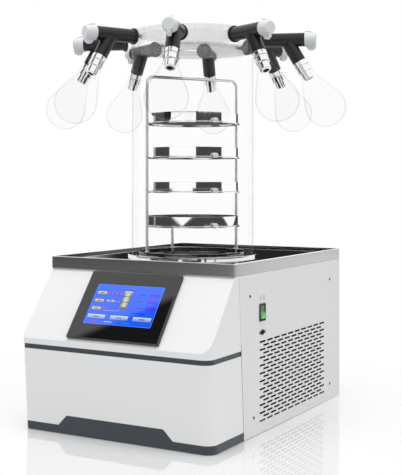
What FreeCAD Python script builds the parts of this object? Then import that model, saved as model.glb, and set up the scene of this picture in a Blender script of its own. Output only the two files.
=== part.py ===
import FreeCAD, Part
import math
import os

# Bench-top manifold freeze dryer. Millimetres, +Z up, front toward -Y.
# The model is laid out with y = 0 at the middle of the stainless deck, and
# moved at the end so that the origin is under the middle of the whole part.

# ---- cabinet -------------------------------------------------------------
CAB_WIDTH = 450.0            # across the side panels
DECK_DEPTH = 550.0           # stainless deck frame, front to back
CAB_HEIGHT = 358.0           # floor to the rim of the deck frame
SHEET = 2.0                  # folded sheet of panels and deck
FLOOR_GAP = 1.5              # covers and panels clear the bench by this
FOOT_HEIGHT = 4.5
FOOT_RADIUS = 18.0
FOOT_INSET = 65.0            # foot centre from the cabinet's sides, nose and rear
FRAME_HEIGHT = 26.0          # skirt of the deck frame
FRAME_WALL = 3.0
FRAME_CORNER = 1.5
FRAME_RETURN = 14.0          # fold under the skirt that the panels meet
DECK_RECESS = 5.0            # deck surface below the rim
PAN_FLANGE = 25.0            # upstand of the base pan
PAN_INSET = 11.0             # pan's tongue inside the moulded front

# ---- moulded front -------------------------------------------------------
NOSE_REACH = 100.5           # front face beyond the deck frame, at the trim
LEAN_DEG = 3.8               # front face and seam lean back toward the floor
NOSE_SIDE_STEP = 0.6         # mouldings sit this much inside the side panels
NOSE_CORNER = 22.0           # plan radius of the right front corner
NOSE_LEFT_CORNER = 9.0       # plan radius of the left front corner
INNER_CORNER = 1.0           # smallest inside radius of the mouldings
MOULD_WALL = 3.0
SEAM_SETBACK = 20.0          # seam behind the deck frame's front, at its top
SEAM_GAP = 0.3
PLINTH_HEIGHT = 18.5
PLINTH_RISE = 21.5           # raised middle of the plinth
PLINTH_RISE_TOP = 233.0      # width of the raised middle, top and foot
PLINTH_RISE_FOOT = 276.0
PLINTH_LEDGE = 40.0          # ledge that carries the base pan
TRIM_TOP = 182.5
TRIM_HEIGHT = 10.0
TRIM_SINK = 0.8              # trim band sits back from the covers
TRIM_DEPTH = 9.0
NOSE_STRIP = 12.0            # upright strip above the trim
SLOPE_SETBACK = 4.5          # slope starts this far under the deck frame

# ---- screen --------------------------------------------------------------
BEZEL_WIDTH = 220.0
BEZEL_HEIGHT = 160.0
BEZEL_THICK = 8.0
BEZEL_CORNER = 2.0
BEZEL_BEVEL = 1.5
BEZEL_DROP = 6.5             # bezel edge below the top of the slope
MODULE_WIDTH = 184.0         # electronics box behind the bezel
MODULE_HEIGHT = 116.0
MODULE_DEPTH = 24.0
MODULE_CLEAR = 1.0
LCD_WIDTH = 162.0
LCD_HEIGHT = 93.6
LCD_THICK = 1.4
LCD_CLEAR = 0.2
LCD_LIFT = 1.2               # display centre above the bezel centre

# ---- right side panel ----------------------------------------------------
VENT_ROWS = 21
VENT_SLOTS = 10
VENT_FROM_FRONT = 112.0      # first slot behind the deck frame's front
VENT_LENGTH = 341.0
VENT_TOP = 189.0
VENT_DROP = 163.0
SLOT_LENGTH = 27.0
SLOT_HEIGHT = 3.9
SWITCH_FROM_FRONT = 123.5
SWITCH_Z = 250.0
SWITCH_WIDTH = 27.0
SWITCH_HEIGHT = 36.0
SWITCH_LIP = 2.0
SWITCH_BODY_DEPTH = 26.0
SWITCH_WALL = 2.0
ROCKER_WIDTH = 20.6
ROCKER_RADIUS = 14.8
ROCKER_GAP = 0.4
ROCKER_DEG = 12.0            # slope of each half of the rocker
ROCKER_PIVOT_DEPTH = 3.0     # pivot behind the panel face
ROCKER_BACK = 7.4            # flat back of the rocker behind its pivot
ROCKER_PIN_RADIUS = 1.5
ROCKER_PIN_LENGTH = 1.3
FIT = 0.05                   # radial running fit of pins, stems and spigots
SOCKET_FROM_FRONT = 124.3
SOCKET_Z = 208.5
SOCKET_WIDTH = 13.0
SOCKET_HEIGHT = 10.5
SOCKET_DEPTH = 14.0
SOCKET_WALL = 1.6
SOCKET_LIP = 0.8
SOCKET_STEP = 1.2            # lip wider than the body behind it
SOCKET_SCREW_SPAN = 22.0
SCREW_FROM_SEAM = 45.0
SCREW_FROM_REAR = 62.0
SCREW_TOP = 288.0
SCREW_FOOT = 39.0
SCREW_HEAD_RADIUS = 3.0
SCREW_HEAD_HEIGHT = 0.9
SCREW_SHANK_RADIUS = 1.5
SCREW_LENGTH = 8.0

# ---- rear panel ----------------------------------------------------------
LOUVRE_COUNT = 12
LOUVRE_WIDTH = 220.0
LOUVRE_HEIGHT = 5.0
LOUVRE_PITCH = 12.0
LOUVRE_FOOT = 60.0
LOUVRE_X = -60.0
INLET_X = 150.0
INLET_Z = 70.0
INLET_WIDTH = 32.0
INLET_HEIGHT = 25.0
INLET_WALL = 3.0
INLET_LIP = 2.0
INLET_DEPTH = 22.0
INLET_PIN_LENGTH = 13.0
INLET_PIN_PITCH = 7.0
INLET_PIN_THICK = 2.0
INLET_PIN_HEIGHT = 4.0
INLET_PIN_STAGGER = 2.0      # middle pin up, outer pins down
NOZZLE_X = 150.0
NOZZLE_DROP = 93.0           # below the rim of the deck frame
NOZZLE_RADIUS = 14.0
NOZZLE_BORE = 12.0
NOZZLE_FLANGE_RADIUS = 20.0  # DN25 small flange
NOZZLE_FLANGE = 3.0
NOZZLE_REACH = 32.0
NOZZLE_COLLAR_RADIUS = 24.0
NOZZLE_COLLAR = 4.0
NOZZLE_INNER = 18.0

# ---- cold trap and drum --------------------------------------------------
TRAP_SET = 9.3               # trap wall inside the middle of the rack's uprights
TRAP_DEPTH = 230.0
TRAP_WALL = 1.5
TRAP_FLANGE_LAP = 4.0        # trap flange beyond the raised ring above it
DRAIN_RADIUS = 7.0
DRAIN_LENGTH = 14.0
INSULATION = 24.0
COLLAR_CLEAR = 0.4           # raised ring of the trap mouth around the rack's sleeves
COLLAR_WALL = 2.5
COLLAR_HEIGHT = 11.0
DRUM_SET = 3.0               # inside of the drum beyond the gasket's bore
DRUM_WALL = 8.0
DRUM_HEIGHT = 457.0
GASKET_LEDGE = 9.0           # gasket beyond the drum
GASKET_CLEAR = 5.0           # gasket's bore around the raised ring
GASKET_THICK = 5.0

# ---- manifold head -------------------------------------------------------
HEAD_HEIGHT = 44.0
HEAD_WALL = 12.0
HEAD_TOP = 10.0
HEAD_WEB = 6.0
HEAD_BORE = 30.0             # gas way down to the drum
HEAD_LIP = 4.0               # locating lip inside the drum
HEAD_LIP_WALL = 6.0
HEAD_LIP_CLEAR = 0.25
PORTS = 8
FIRST_PORT_DEG = 20.0        # from the front toward the right
PORT_DROP = 22.5             # port axis below the top of the head
STUB_RADIUS = 11.0
STUB_BORE = 7.0
STUB_SHOWN = 17.0            # stub between the head and the valve
STUB_GRIP = 20.0             # stub inside the valve

# ---- valves, along each port ---------------------------------------------
VALVE_LENGTH = 99.0
VALVE_COLLAR = 6.0
VALVE_COLLAR_RADIUS = 18.0
VALVE_RADIUS = 15.2
VALVE_ROUND = 1.0
BRANCH_FROM_START = 59.0     # branch axis behind the start of the valve
BRANCH_DEG = 30.0
BRANCH_LENGTH = 57.0
GAS_BORE = 6.0
STEM_RADIUS = 9.0
STEM_FROM_START = 50.0       # inner end of the plug behind the start of the valve
STEM_BORE = 5.0
KNOB_GAP = 0.2
KNOB_LENGTH = 25.0
KNOB_RADIUS = 16.5
KNOB_END_RADIUS = 13.0
KNOB_SHOULDER = 6.0          # the knob's end is cut back over this length
KNOB_SHOULDER_RADIUS = 15.5
BLADE_THICK = 7.0
BLADE_TOP = 20.5
BLADE_TOP_END = 13.0
BLADE_FOOT = 25.0
BLADE_FOOT_START = 13.0
BLADE_FOOT_END = 22.3

# ---- flask adapters, from the end of the branch --------------------------
TAIL_LENGTH = 18.0
TAIL_RADIUS = 10.0
ADAPTER_BORE = 6.5
ADAPTER_HEAD = 11.0
ADAPTER_RADIUS = 14.0
ADAPTER_GROOVE = 1.5
ADAPTER_GROOVE_RADIUS = 12.6
ADAPTER_SEAT = 13.5
ADAPTER_NECK_RADIUS = 11.6
ADAPTER_NOSE = 17.0
ADAPTER_NOSE_RADIUS = 12.0
ADAPTER_CHAMFER = 2.0

# ---- flasks, from the end of the branch ----------------------------------
FLASK_MOUTH = 12.0
FLASK_WALL = 2.4
FLASK_NECK_BORE = 14.6
FLASK_NECK_END = 37.0
FLASK_LIP = 2.0
FLASK_LIP_HEIGHT = 3.0
FLASK_BULB_RADIUS = 45.0
FLASK_BULB_AT = 116.0

# ---- tray rack -----------------------------------------------------------
RACK_RADIUS = 113.3
RACK_DEG = 147.0             # right-hand upright, from the front
ROD_RADIUS = 3.3
REAR_LEG_INSET = 0.3         # third leg, inside the edge of the lowest shelf
RACK_HEIGHT = 400.0          # deck to the middle of the top bar
RACK_BEND = 14.0
SLEEVE_RADIUS = 4.8
SLEEVE_HEIGHT = 14.0
TRAY_COUNT = 4
TRAY_FIRST = 68.0            # underside of the lowest tray above the deck
TRAY_PITCH = 76.7
TRAY_CLEAR = 3.5             # tray inside the edge of its shelf
TRAY_HEIGHT = 22.0
TRAY_SHEET = 1.2
SHELF_CLEAR = 4.0            # shelf inside the uprights
SHELF_RIM = 14.0             # width of the ring of the shelf
SHELF_THICK = 2.0
SHELF_EAR = 8.0
STUD_RISE = 3.0              # stud above the underside of its tray
STUD_RADIUS = 2.0
STUD_NECK = 1.5
STUD_HEAD = 6.0              # radius of the stud's head
STUD_HEAD_LENGTH = 6.0
STUD_ROUND = 2.5
STUD_LUG = 8.0               # width of the tab that holds the stud
STUD_LUG_THICK = 2.0

# ---- machinery -----------------------------------------------------------
COMPRESSOR_X = -105.0
COMPRESSOR_FROM_REAR = 110.0
COMPRESSOR_RADIUS = 74.0
COMPRESSOR_HEIGHT = 165.0
COMPRESSOR_DOME = 34.0
COMPRESSOR_PLATE = 4.0
COMPRESSOR_PLATE_SIDE = 128.0
COMPRESSOR_PAD = 14.0
COMPRESSOR_PAD_RADIUS = 13.0
COMPRESSOR_PAD_INSET = 18.0
COIL_BACK = 198.0            # condenser face toward the vents
COIL_THICK = 30.0
COIL_FROM_FRONT = 270.0
COIL_LENGTH = 172.0
COIL_HEIGHT = 168.0
COIL_END_PLATE = 3.0
COIL_FIN_COUNT = 16
COIL_FIN_DEPTH = 6.0
FAN_THICK = 26.0
FAN_RADIUS = 74.0
FAN_TIP_GAP = 3.0
FAN_HUB_RADIUS = 20.0
FAN_HUB_LENGTH = 16.0
FAN_BLADES = 5
FAN_BLADE_THICK = 2.4
FAN_BLADE_TWIST = 28.0
FAN_BLADE_CHORD = 34.0
FAN_SHAFT_RADIUS = 4.0
FAN_MOTOR_RADIUS = 22.0
FAN_MOTOR_LENGTH = 22.0
FAN_MOTOR_STANDOFF = 1.0
FAN_SPOKE = 8.0
FAN_SPOKE_THICK = 3.0

# ---- values that follow --------------------------------------------------
V = FreeCAD.Vector
Z_AXIS = V(0, 0, 1)
HALF = CAB_WIDTH / 2
FRONT = -DECK_DEPTH / 2
REAR = DECK_DEPTH / 2
INNER = HALF - SHEET
COVER_TOP = CAB_HEIGHT - FRAME_HEIGHT
DECK_Z = CAB_HEIGHT - DECK_RECESS
DECK_UNDER = DECK_Z - SHEET
PAN_Z = FOOT_HEIGHT
PAN_TOP = PAN_Z + SHEET
LEAN = math.tan(math.radians(LEAN_DEG))
NOSE_HALF = HALF - NOSE_SIDE_STEP
NOSE_Y0 = FRONT - NOSE_REACH + LEAN * TRIM_TOP
SEAM_Y0 = FRONT + SEAM_SETBACK + LEAN * COVER_TOP
STRIP_TOP = TRIM_TOP + NOSE_STRIP
SLOPE_TOP_Y = FRONT + SLOPE_SETBACK
SLOPE_FOOT_Y = NOSE_Y0 - LEAN * STRIP_TOP
SLOPE_DEG = math.degrees(math.atan2(SLOPE_TOP_Y - SLOPE_FOOT_Y, COVER_TOP - STRIP_TOP))
DRUM_Y = FRONT + HALF        # drum axis: as far from the front as from the sides
SHELF_RADIUS = RACK_RADIUS - ROD_RADIUS - SHELF_CLEAR
SHELF_BORE = SHELF_RADIUS - SHELF_RIM
TRAY_RADIUS = SHELF_RADIUS - TRAY_CLEAR
REAR_LEG_RADIUS = SHELF_RADIUS - REAR_LEG_INSET
TRAP_RADIUS = RACK_RADIUS - TRAP_SET
COLLAR_RADIUS = RACK_RADIUS + SLEEVE_RADIUS + COLLAR_CLEAR + COLLAR_WALL
TRAP_FLANGE_RADIUS = COLLAR_RADIUS + TRAP_FLANGE_LAP
GASKET_BORE = COLLAR_RADIUS + GASKET_CLEAR
DRUM_RADIUS = GASKET_BORE + DRUM_SET + DRUM_WALL
GASKET_RADIUS = DRUM_RADIUS + GASKET_LEDGE
VALVE_START = DRUM_RADIUS + STUB_SHOWN
VALVE_END = VALVE_START + VALVE_LENGTH
STUB_END = VALVE_START + STUB_GRIP
STEM_START = VALVE_START + STEM_FROM_START
BRANCH_AT = VALVE_START + BRANCH_FROM_START
NOZZLE_Z = CAB_HEIGHT - NOZZLE_DROP
DRUM_FOOT = DECK_Z + GASKET_THICK
HEAD_FOOT = DRUM_FOOT + DRUM_HEIGHT
HEAD_Z = HEAD_FOOT + HEAD_HEIGHT
PORT_Z = HEAD_Z - PORT_DROP
VENT_FRONT = FRONT + VENT_FROM_FRONT
SWITCH_Y = FRONT + SWITCH_FROM_FRONT
SOCKET_Y = FRONT + SOCKET_FROM_FRONT
COMPRESSOR_Y = REAR - COMPRESSOR_FROM_REAR
COIL_FRONT = FRONT + COIL_FROM_FRONT
FAR = 1000.0                 # past everything
OVER = 1.0                   # cutters and roots run this far past a face
TOUCH = 0.01                 # edges this near a plane lie on it


def box(x0, x1, y0, y1, z0, z1):
    """Box between two corners."""
    return Part.makeBox(x1 - x0, y1 - y0, z1 - z0, V(x0, y0, z0))


def rod(radius, start, end):
    """Round bar between two points."""
    axis = end - start
    return Part.makeCylinder(radius, axis.Length, start, axis)


def ring(radius, bore, z0, z1, y):
    """Upright ring about the line x = 0 at the given y."""
    outer = rod(radius, V(0, y, z0), V(0, y, z1))
    return outer.cut(rod(bore, V(0, y, z0 - OVER), V(0, y, z1 + OVER)))


def prism(points, sweep):
    """Polygon pushed along a vector."""
    return Part.Face(Part.makePolygon(points + points[:1])).extrude(sweep)


def turned(profile, origin=V(0, 0, 0), axis=V(1, 0, 0), outward=V(0, 0, 1)):
    """Solid of revolution from (distance along axis, radius) pairs."""
    points = [origin + axis * s + outward * r for s, r in profile]
    face = Part.Face(Part.makePolygon(points + points[:1]))
    return face.revolve(origin, axis, 360)


def lean_shift(z):
    """Y shift of the leaning front at a height."""
    return -LEAN * z


def corner_arc(side, front, radius):
    """Side end, middle and front end of a rounded plan corner."""
    centre = V(side - math.copysign(radius, side), front + radius, 0)
    reach = radius * math.sin(math.radians(45))
    middle = centre + V(math.copysign(reach, side), -reach, 0)
    return [V(side, centre.y, 0), middle, V(centre.x, front, 0)]


def nose_block(inset, z0, z1, rear=SEAM_Y0):
    """Leaning block with the plan outline of the moulded front."""
    side = NOSE_HALF - inset
    front = NOSE_Y0 + inset
    left = corner_arc(-side, front, max(NOSE_LEFT_CORNER - inset, INNER_CORNER))
    right = corner_arc(side, front, max(NOSE_CORNER - inset, INNER_CORNER))
    corners = [V(-side, rear, 0)] + left + right[::-1] + [V(side, rear, 0)]
    edges = [
        Part.LineSegment(corners[0], corners[1]).toShape(),
        Part.Arc(corners[1], corners[2], corners[3]).toShape(),
        Part.LineSegment(corners[3], corners[4]).toShape(),
        Part.Arc(corners[4], corners[5], corners[6]).toShape(),
        Part.LineSegment(corners[6], corners[7]).toShape(),
        Part.LineSegment(corners[7], corners[0]).toShape(),
    ]
    face = Part.Face(Part.Wire(edges))
    face.translate(V(0, lean_shift(z0), z0))
    return face.extrude(V(0, lean_shift(z1 - z0), z1 - z0))


def nose_shell(wall, z0, z1, inset=0.0):
    """Wall of the moulded front, open at the back."""
    outer = nose_block(inset, z0, z1)
    inner = nose_block(inset + wall, z0 - OVER, z1 + OVER, SEAM_Y0 + PLINTH_LEDGE)
    return outer.cut(inner)


def plinth_profile():
    """Region below the joint between plinth and lower cover."""
    high = PLINTH_HEIGHT + PLINTH_RISE
    front = FRONT - FAR
    points = [
        V(-FAR, front, 0), V(FAR, front, 0), V(FAR, front, PLINTH_HEIGHT),
        V(PLINTH_RISE_FOOT / 2, front, PLINTH_HEIGHT), V(PLINTH_RISE_TOP / 2, front, high),
        V(-PLINTH_RISE_TOP / 2, front, high), V(-PLINTH_RISE_FOOT / 2, front, PLINTH_HEIGHT),
        V(-FAR, front, PLINTH_HEIGHT),
    ]
    return prism(points, V(0, 2 * FAR, 0))


def make_plinth():
    skirt = nose_shell(MOULD_WALL, FLOOR_GAP, TRIM_TOP).common(plinth_profile())
    ledge = nose_shell(PLINTH_LEDGE, FLOOR_GAP, PAN_Z)
    return skirt.fuse(ledge).removeSplitter()


def make_front_lower_cover():
    shell = nose_shell(MOULD_WALL, FLOOR_GAP, TRIM_TOP - TRIM_HEIGHT)
    return shell.cut(plinth_profile())


def make_trim_band():
    return nose_shell(TRIM_DEPTH, TRIM_TOP - TRIM_HEIGHT, TRIM_TOP, TRIM_SINK)


def above_slope(depth):
    """Everything in front of the slope, moved back by a depth."""
    angle = math.radians(SLOPE_DEG)
    back = depth / math.cos(angle)
    rise = COVER_TOP - STRIP_TOP
    run = (SLOPE_TOP_Y - SLOPE_FOOT_Y) / rise
    low = V(-FAR, SLOPE_FOOT_Y + back - run * FAR, STRIP_TOP - FAR)
    high = V(-FAR, SLOPE_TOP_Y + back + run * FAR, COVER_TOP + FAR)
    corner = V(-FAR, low.y, high.z)
    return prism([low, high, corner], V(2 * FAR, 0, 0))


def on_slope(shape):
    """Places a shape drawn flat, x across, y up the slope, z outward."""
    angle = math.radians(SLOPE_DEG)
    down = BEZEL_DROP + BEZEL_HEIGHT / 2
    placed = shape.copy()
    placed.rotate(V(0, 0, 0), V(1, 0, 0), 90 - SLOPE_DEG)
    placed.translate(V(0, SLOPE_TOP_Y - down * math.sin(angle), COVER_TOP - down * math.cos(angle)))
    return placed


def slab(width, height, z0, z1, y=0.0):
    """Flat plate centred on x = 0."""
    return box(-width / 2, width / 2, y - height / 2, y + height / 2, z0, z1)


def make_front_upper_cover():
    outer = nose_block(0, TRIM_TOP, COVER_TOP).cut(above_slope(0))
    inner = nose_block(MOULD_WALL, TRIM_TOP - OVER, COVER_TOP + OVER, SEAM_Y0 + PLINTH_LEDGE)
    shell = outer.cut(inner.cut(above_slope(MOULD_WALL)))
    window_w = MODULE_WIDTH + 2 * MODULE_CLEAR
    window_h = MODULE_HEIGHT + 2 * MODULE_CLEAR
    return shell.cut(on_slope(slab(window_w, window_h, -MODULE_DEPTH, MODULE_DEPTH)))


def make_screen_bezel():
    plate = slab(BEZEL_WIDTH, BEZEL_HEIGHT, 0, BEZEL_THICK)
    uprights = [e for e in plate.Edges if abs(e.tangentAt(e.FirstParameter).z) > 0.9]
    plate = plate.makeFillet(BEZEL_CORNER, uprights)
    rim = [e for e in plate.Edges if e.BoundBox.ZMin > BEZEL_THICK - TOUCH]
    plate = plate.makeChamfer(BEZEL_BEVEL, rim)
    module = slab(MODULE_WIDTH, MODULE_HEIGHT, -MODULE_DEPTH, 0)
    pocket_w = LCD_WIDTH + 2 * LCD_CLEAR
    pocket_h = LCD_HEIGHT + 2 * LCD_CLEAR
    pocket = slab(pocket_w, pocket_h, BEZEL_THICK - LCD_THICK, BEZEL_THICK + OVER, LCD_LIFT)
    return on_slope(plate.fuse(module).cut(pocket).removeSplitter())


def make_lcd_panel():
    return on_slope(slab(LCD_WIDTH, LCD_HEIGHT, BEZEL_THICK - LCD_THICK, BEZEL_THICK, LCD_LIFT))


def side_plate(x0, x1):
    """Side panel blank: its front edge runs along the leaning seam."""
    seam = SEAM_Y0 + SEAM_GAP
    points = [
        V(x0, seam + lean_shift(FLOOR_GAP), FLOOR_GAP), V(x0, REAR, FLOOR_GAP),
        V(x0, REAR, COVER_TOP), V(x0, seam + lean_shift(COVER_TOP), COVER_TOP),
    ]
    return prism(points, V(x1 - x0, 0, 0))


def vent_slots():
    """Rows of slots, each second row one slot shorter and half a pitch on."""
    pitch = (VENT_LENGTH - SLOT_LENGTH) / (VENT_SLOTS - 1)
    row_pitch = VENT_DROP / (VENT_ROWS - 1)
    slots = []
    for row in range(VENT_ROWS):
        odd = row % 2
        z = VENT_TOP - row * row_pitch
        for column in range(VENT_SLOTS - odd):
            y = VENT_FRONT + (column + odd / 2) * pitch
            slots.append(box(INNER - OVER, HALF + OVER, y, y + SLOT_LENGTH,
                             z - SLOT_HEIGHT / 2, z + SLOT_HEIGHT / 2))
    return Part.makeCompound(slots)


def side_screw_places():
    """Panel screws: two along the seam and two along the rear edge."""
    places = []
    for z in (SCREW_FOOT, SCREW_TOP):
        places.append((SEAM_Y0 + lean_shift(z) + SCREW_FROM_SEAM, z))
        places.append((REAR - SCREW_FROM_REAR, z))
    return places


def socket_screw_places():
    half = SOCKET_SCREW_SPAN / 2
    return [(SOCKET_Y - half, SOCKET_Z), (SOCKET_Y + half, SOCKET_Z)]


def screw_hole(y, z, side):
    start = V(side * (INNER - SCREW_LENGTH), y, z)
    return rod(SCREW_SHANK_RADIUS + FIT, start, V(side * (HALF + OVER), y, z))


def at_side(y, z, width, height, x0, x1):
    """Block in the right side panel, centred at y, z."""
    return box(x0, x1, y - width / 2, y + width / 2, z - height / 2, z + height / 2)


def make_side_panel_right():
    panel = side_plate(INNER, HALF).cut(vent_slots())
    lip = SWITCH_LIP / 2
    panel = panel.cut(at_side(SWITCH_Y, SWITCH_Z, SWITCH_WIDTH - lip, SWITCH_HEIGHT - lip,
                              INNER - OVER, HALF + OVER))
    panel = panel.cut(at_side(SOCKET_Y, SOCKET_Z, SOCKET_WIDTH - SOCKET_LIP,
                              SOCKET_HEIGHT - SOCKET_LIP, INNER - OVER, HALF + OVER))
    for y, z in side_screw_places() + socket_screw_places():
        panel = panel.cut(screw_hole(y, z, 1))
    return panel


def make_side_panel_left():
    panel = side_plate(-HALF, -INNER)
    for y, z in side_screw_places():
        panel = panel.cut(screw_hole(y, z, -1))
    return panel


def screw(y, z, side):
    """Flat-head screw through a side panel."""
    face = side * HALF
    head = rod(SCREW_HEAD_RADIUS, V(face, y, z), V(face + side * SCREW_HEAD_HEIGHT, y, z))
    shank = rod(SCREW_SHANK_RADIUS, V(face - side * SCREW_LENGTH, y, z), V(face, y, z))
    return head.fuse(shank).removeSplitter()


def make_panel_screws():
    screws = [screw(y, z, 1) for y, z in side_screw_places() + socket_screw_places()]
    screws += [screw(y, z, -1) for y, z in side_screw_places()]
    return Part.makeCompound(screws)


def rocker_frame():
    """Inner width and height of the switch housing."""
    return ROCKER_WIDTH + 2 * ROCKER_GAP, 2 * (ROCKER_RADIUS + ROCKER_GAP)


def make_switch_housing():
    wide, tall = rocker_frame()
    lip = at_side(SWITCH_Y, SWITCH_Z, SWITCH_WIDTH, SWITCH_HEIGHT, HALF, HALF + SWITCH_LIP)
    body = at_side(SWITCH_Y, SWITCH_Z, wide + 2 * SWITCH_WALL, tall + 2 * SWITCH_WALL,
                   HALF - SWITCH_BODY_DEPTH, HALF)
    well = at_side(SWITCH_Y, SWITCH_Z, wide, tall,
                   HALF - SWITCH_BODY_DEPTH + SWITCH_WALL, HALF + SWITCH_LIP + OVER)
    reach = ROCKER_WIDTH / 2 + ROCKER_GAP + ROCKER_PIN_LENGTH
    pivot_x = HALF - ROCKER_PIVOT_DEPTH
    bore = rod(ROCKER_PIN_RADIUS + FIT, V(pivot_x, SWITCH_Y - reach, SWITCH_Z),
               V(pivot_x, SWITCH_Y + reach, SWITCH_Z))
    return lip.fuse(body).cut(well).cut(bore).removeSplitter()


def make_switch_rocker():
    """Rocker with two flat halves, tipped so that its foot stands out."""
    slope = math.tan(math.radians(ROCKER_DEG))
    crest = ROCKER_PIVOT_DEPTH + SWITCH_LIP / 2
    half = ROCKER_WIDTH / 2
    points = [
        V(-ROCKER_BACK, -half, -FAR), V(crest + FAR * slope, -half, -FAR), V(crest, -half, 0),
        V(crest + FAR * slope, -half, FAR), V(-ROCKER_BACK, -half, FAR),
    ]
    body = prism(points, V(0, ROCKER_WIDTH, 0))
    body = body.common(rod(ROCKER_RADIUS, V(0, -half, 0), V(0, half, 0)))
    reach = half + ROCKER_PIN_LENGTH
    body = body.fuse(rod(ROCKER_PIN_RADIUS, V(0, -reach, 0), V(0, reach, 0))).removeSplitter()
    body.rotate(V(0, 0, 0), V(0, 1, 0), -ROCKER_DEG)
    body.translate(V(HALF - ROCKER_PIVOT_DEPTH, SWITCH_Y, SWITCH_Z))
    return body


def make_data_socket():
    lip = at_side(SOCKET_Y, SOCKET_Z, SOCKET_WIDTH, SOCKET_HEIGHT, HALF, HALF + SOCKET_LIP)
    body = at_side(SOCKET_Y, SOCKET_Z, SOCKET_WIDTH - SOCKET_STEP, SOCKET_HEIGHT - SOCKET_STEP,
                   HALF - SOCKET_DEPTH, HALF)
    well = at_side(SOCKET_Y, SOCKET_Z, SOCKET_WIDTH - 2 * SOCKET_WALL,
                   SOCKET_HEIGHT - 2 * SOCKET_WALL,
                   HALF - SOCKET_DEPTH + SOCKET_WALL, HALF + SOCKET_LIP + OVER)
    return lip.fuse(body).cut(well).removeSplitter()


def make_rear_panel():
    panel = box(-INNER, INNER, REAR - SHEET, REAR, FLOOR_GAP, COVER_TOP)
    for row in range(LOUVRE_COUNT):
        z = LOUVRE_FOOT + row * LOUVRE_PITCH
        panel = panel.cut(box(LOUVRE_X - LOUVRE_WIDTH / 2, LOUVRE_X + LOUVRE_WIDTH / 2,
                              REAR - SHEET - OVER, REAR + OVER, z, z + LOUVRE_HEIGHT))
    panel = panel.cut(inlet_block(INLET_LIP / 2, REAR - SHEET - OVER, REAR + OVER))
    return panel.cut(rod(NOZZLE_RADIUS + FIT, V(NOZZLE_X, REAR - SHEET - OVER, NOZZLE_Z),
                         V(NOZZLE_X, REAR + OVER, NOZZLE_Z)))


def inlet_block(inset, y0, y1):
    half_w = INLET_WIDTH / 2 - inset
    half_h = INLET_HEIGHT / 2 - inset
    return box(INLET_X - half_w, INLET_X + half_w, y0, y1, INLET_Z - half_h, INLET_Z + half_h)


def make_power_inlet():
    """Three-pin appliance inlet, with its pins short of the mouth."""
    back = REAR - INLET_DEPTH
    lip = inlet_block(0, REAR, REAR + INLET_LIP)
    body = inlet_block(INLET_LIP / 2 + FIT, back, REAR)
    well = inlet_block(INLET_WALL, back + INLET_WALL, REAR + INLET_LIP + OVER)
    shell = lip.fuse(body).cut(well)
    for column in (-1, 0, 1):
        x = INLET_X + column * INLET_PIN_PITCH
        z = INLET_Z + (INLET_PIN_STAGGER if column == 0 else -INLET_PIN_STAGGER)
        shell = shell.fuse(box(x - INLET_PIN_THICK / 2, x + INLET_PIN_THICK / 2,
                               back + INLET_WALL / 2, back + INLET_WALL + INLET_PIN_LENGTH,
                               z - INLET_PIN_HEIGHT / 2, z + INLET_PIN_HEIGHT / 2))
    return shell.removeSplitter()


def make_vacuum_nozzle():
    """Small-flange pump port, its collar seated on the rear panel."""
    profile = [
        (-NOZZLE_INNER, NOZZLE_BORE), (-NOZZLE_INNER, NOZZLE_RADIUS), (0, NOZZLE_RADIUS),
        (0, NOZZLE_COLLAR_RADIUS), (NOZZLE_COLLAR, NOZZLE_COLLAR_RADIUS),
        (NOZZLE_COLLAR, NOZZLE_RADIUS), (NOZZLE_REACH - 2 * NOZZLE_FLANGE, NOZZLE_RADIUS),
        (NOZZLE_REACH - NOZZLE_FLANGE, NOZZLE_FLANGE_RADIUS),
        (NOZZLE_REACH, NOZZLE_FLANGE_RADIUS), (NOZZLE_REACH, NOZZLE_BORE),
    ]
    return turned(profile, V(NOZZLE_X, REAR, NOZZLE_Z), V(0, 1, 0), V(0, 0, 1))


def make_base_pan():
    front = NOSE_Y0 + lean_shift(PAN_Z) + MOULD_WALL + PAN_INSET
    side_front = SEAM_Y0 + FRAME_RETURN
    inside = NOSE_HALF - MOULD_WALL - PAN_INSET
    plate = box(-INNER, INNER, side_front, REAR - SHEET, PAN_Z, PAN_TOP)
    tongue = box(-inside, inside, front, side_front, PAN_Z, PAN_TOP)
    pan = plate.fuse(tongue)
    top = PAN_Z + PAN_FLANGE
    pan = pan.fuse(box(-INNER, -INNER + SHEET, side_front, REAR - SHEET, PAN_Z, top))
    pan = pan.fuse(box(INNER - SHEET, INNER, side_front, REAR - SHEET, PAN_Z, top))
    pan = pan.fuse(box(-INNER, INNER, REAR - 2 * SHEET, REAR - SHEET, PAN_Z, top))
    for y, z in side_screw_places():
        for side in (-1, 1):
            pan = pan.cut(screw_hole(y, z, side))
    return pan.removeSplitter()


def make_feet():
    feet = []
    for x in (-HALF + FOOT_INSET, HALF - FOOT_INSET):
        for y in (NOSE_Y0 + FOOT_INSET, REAR - FOOT_INSET):
            feet.append(rod(FOOT_RADIUS, V(x, y, 0), V(x, y, FOOT_HEIGHT)))
    return Part.makeCompound(feet)


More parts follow.
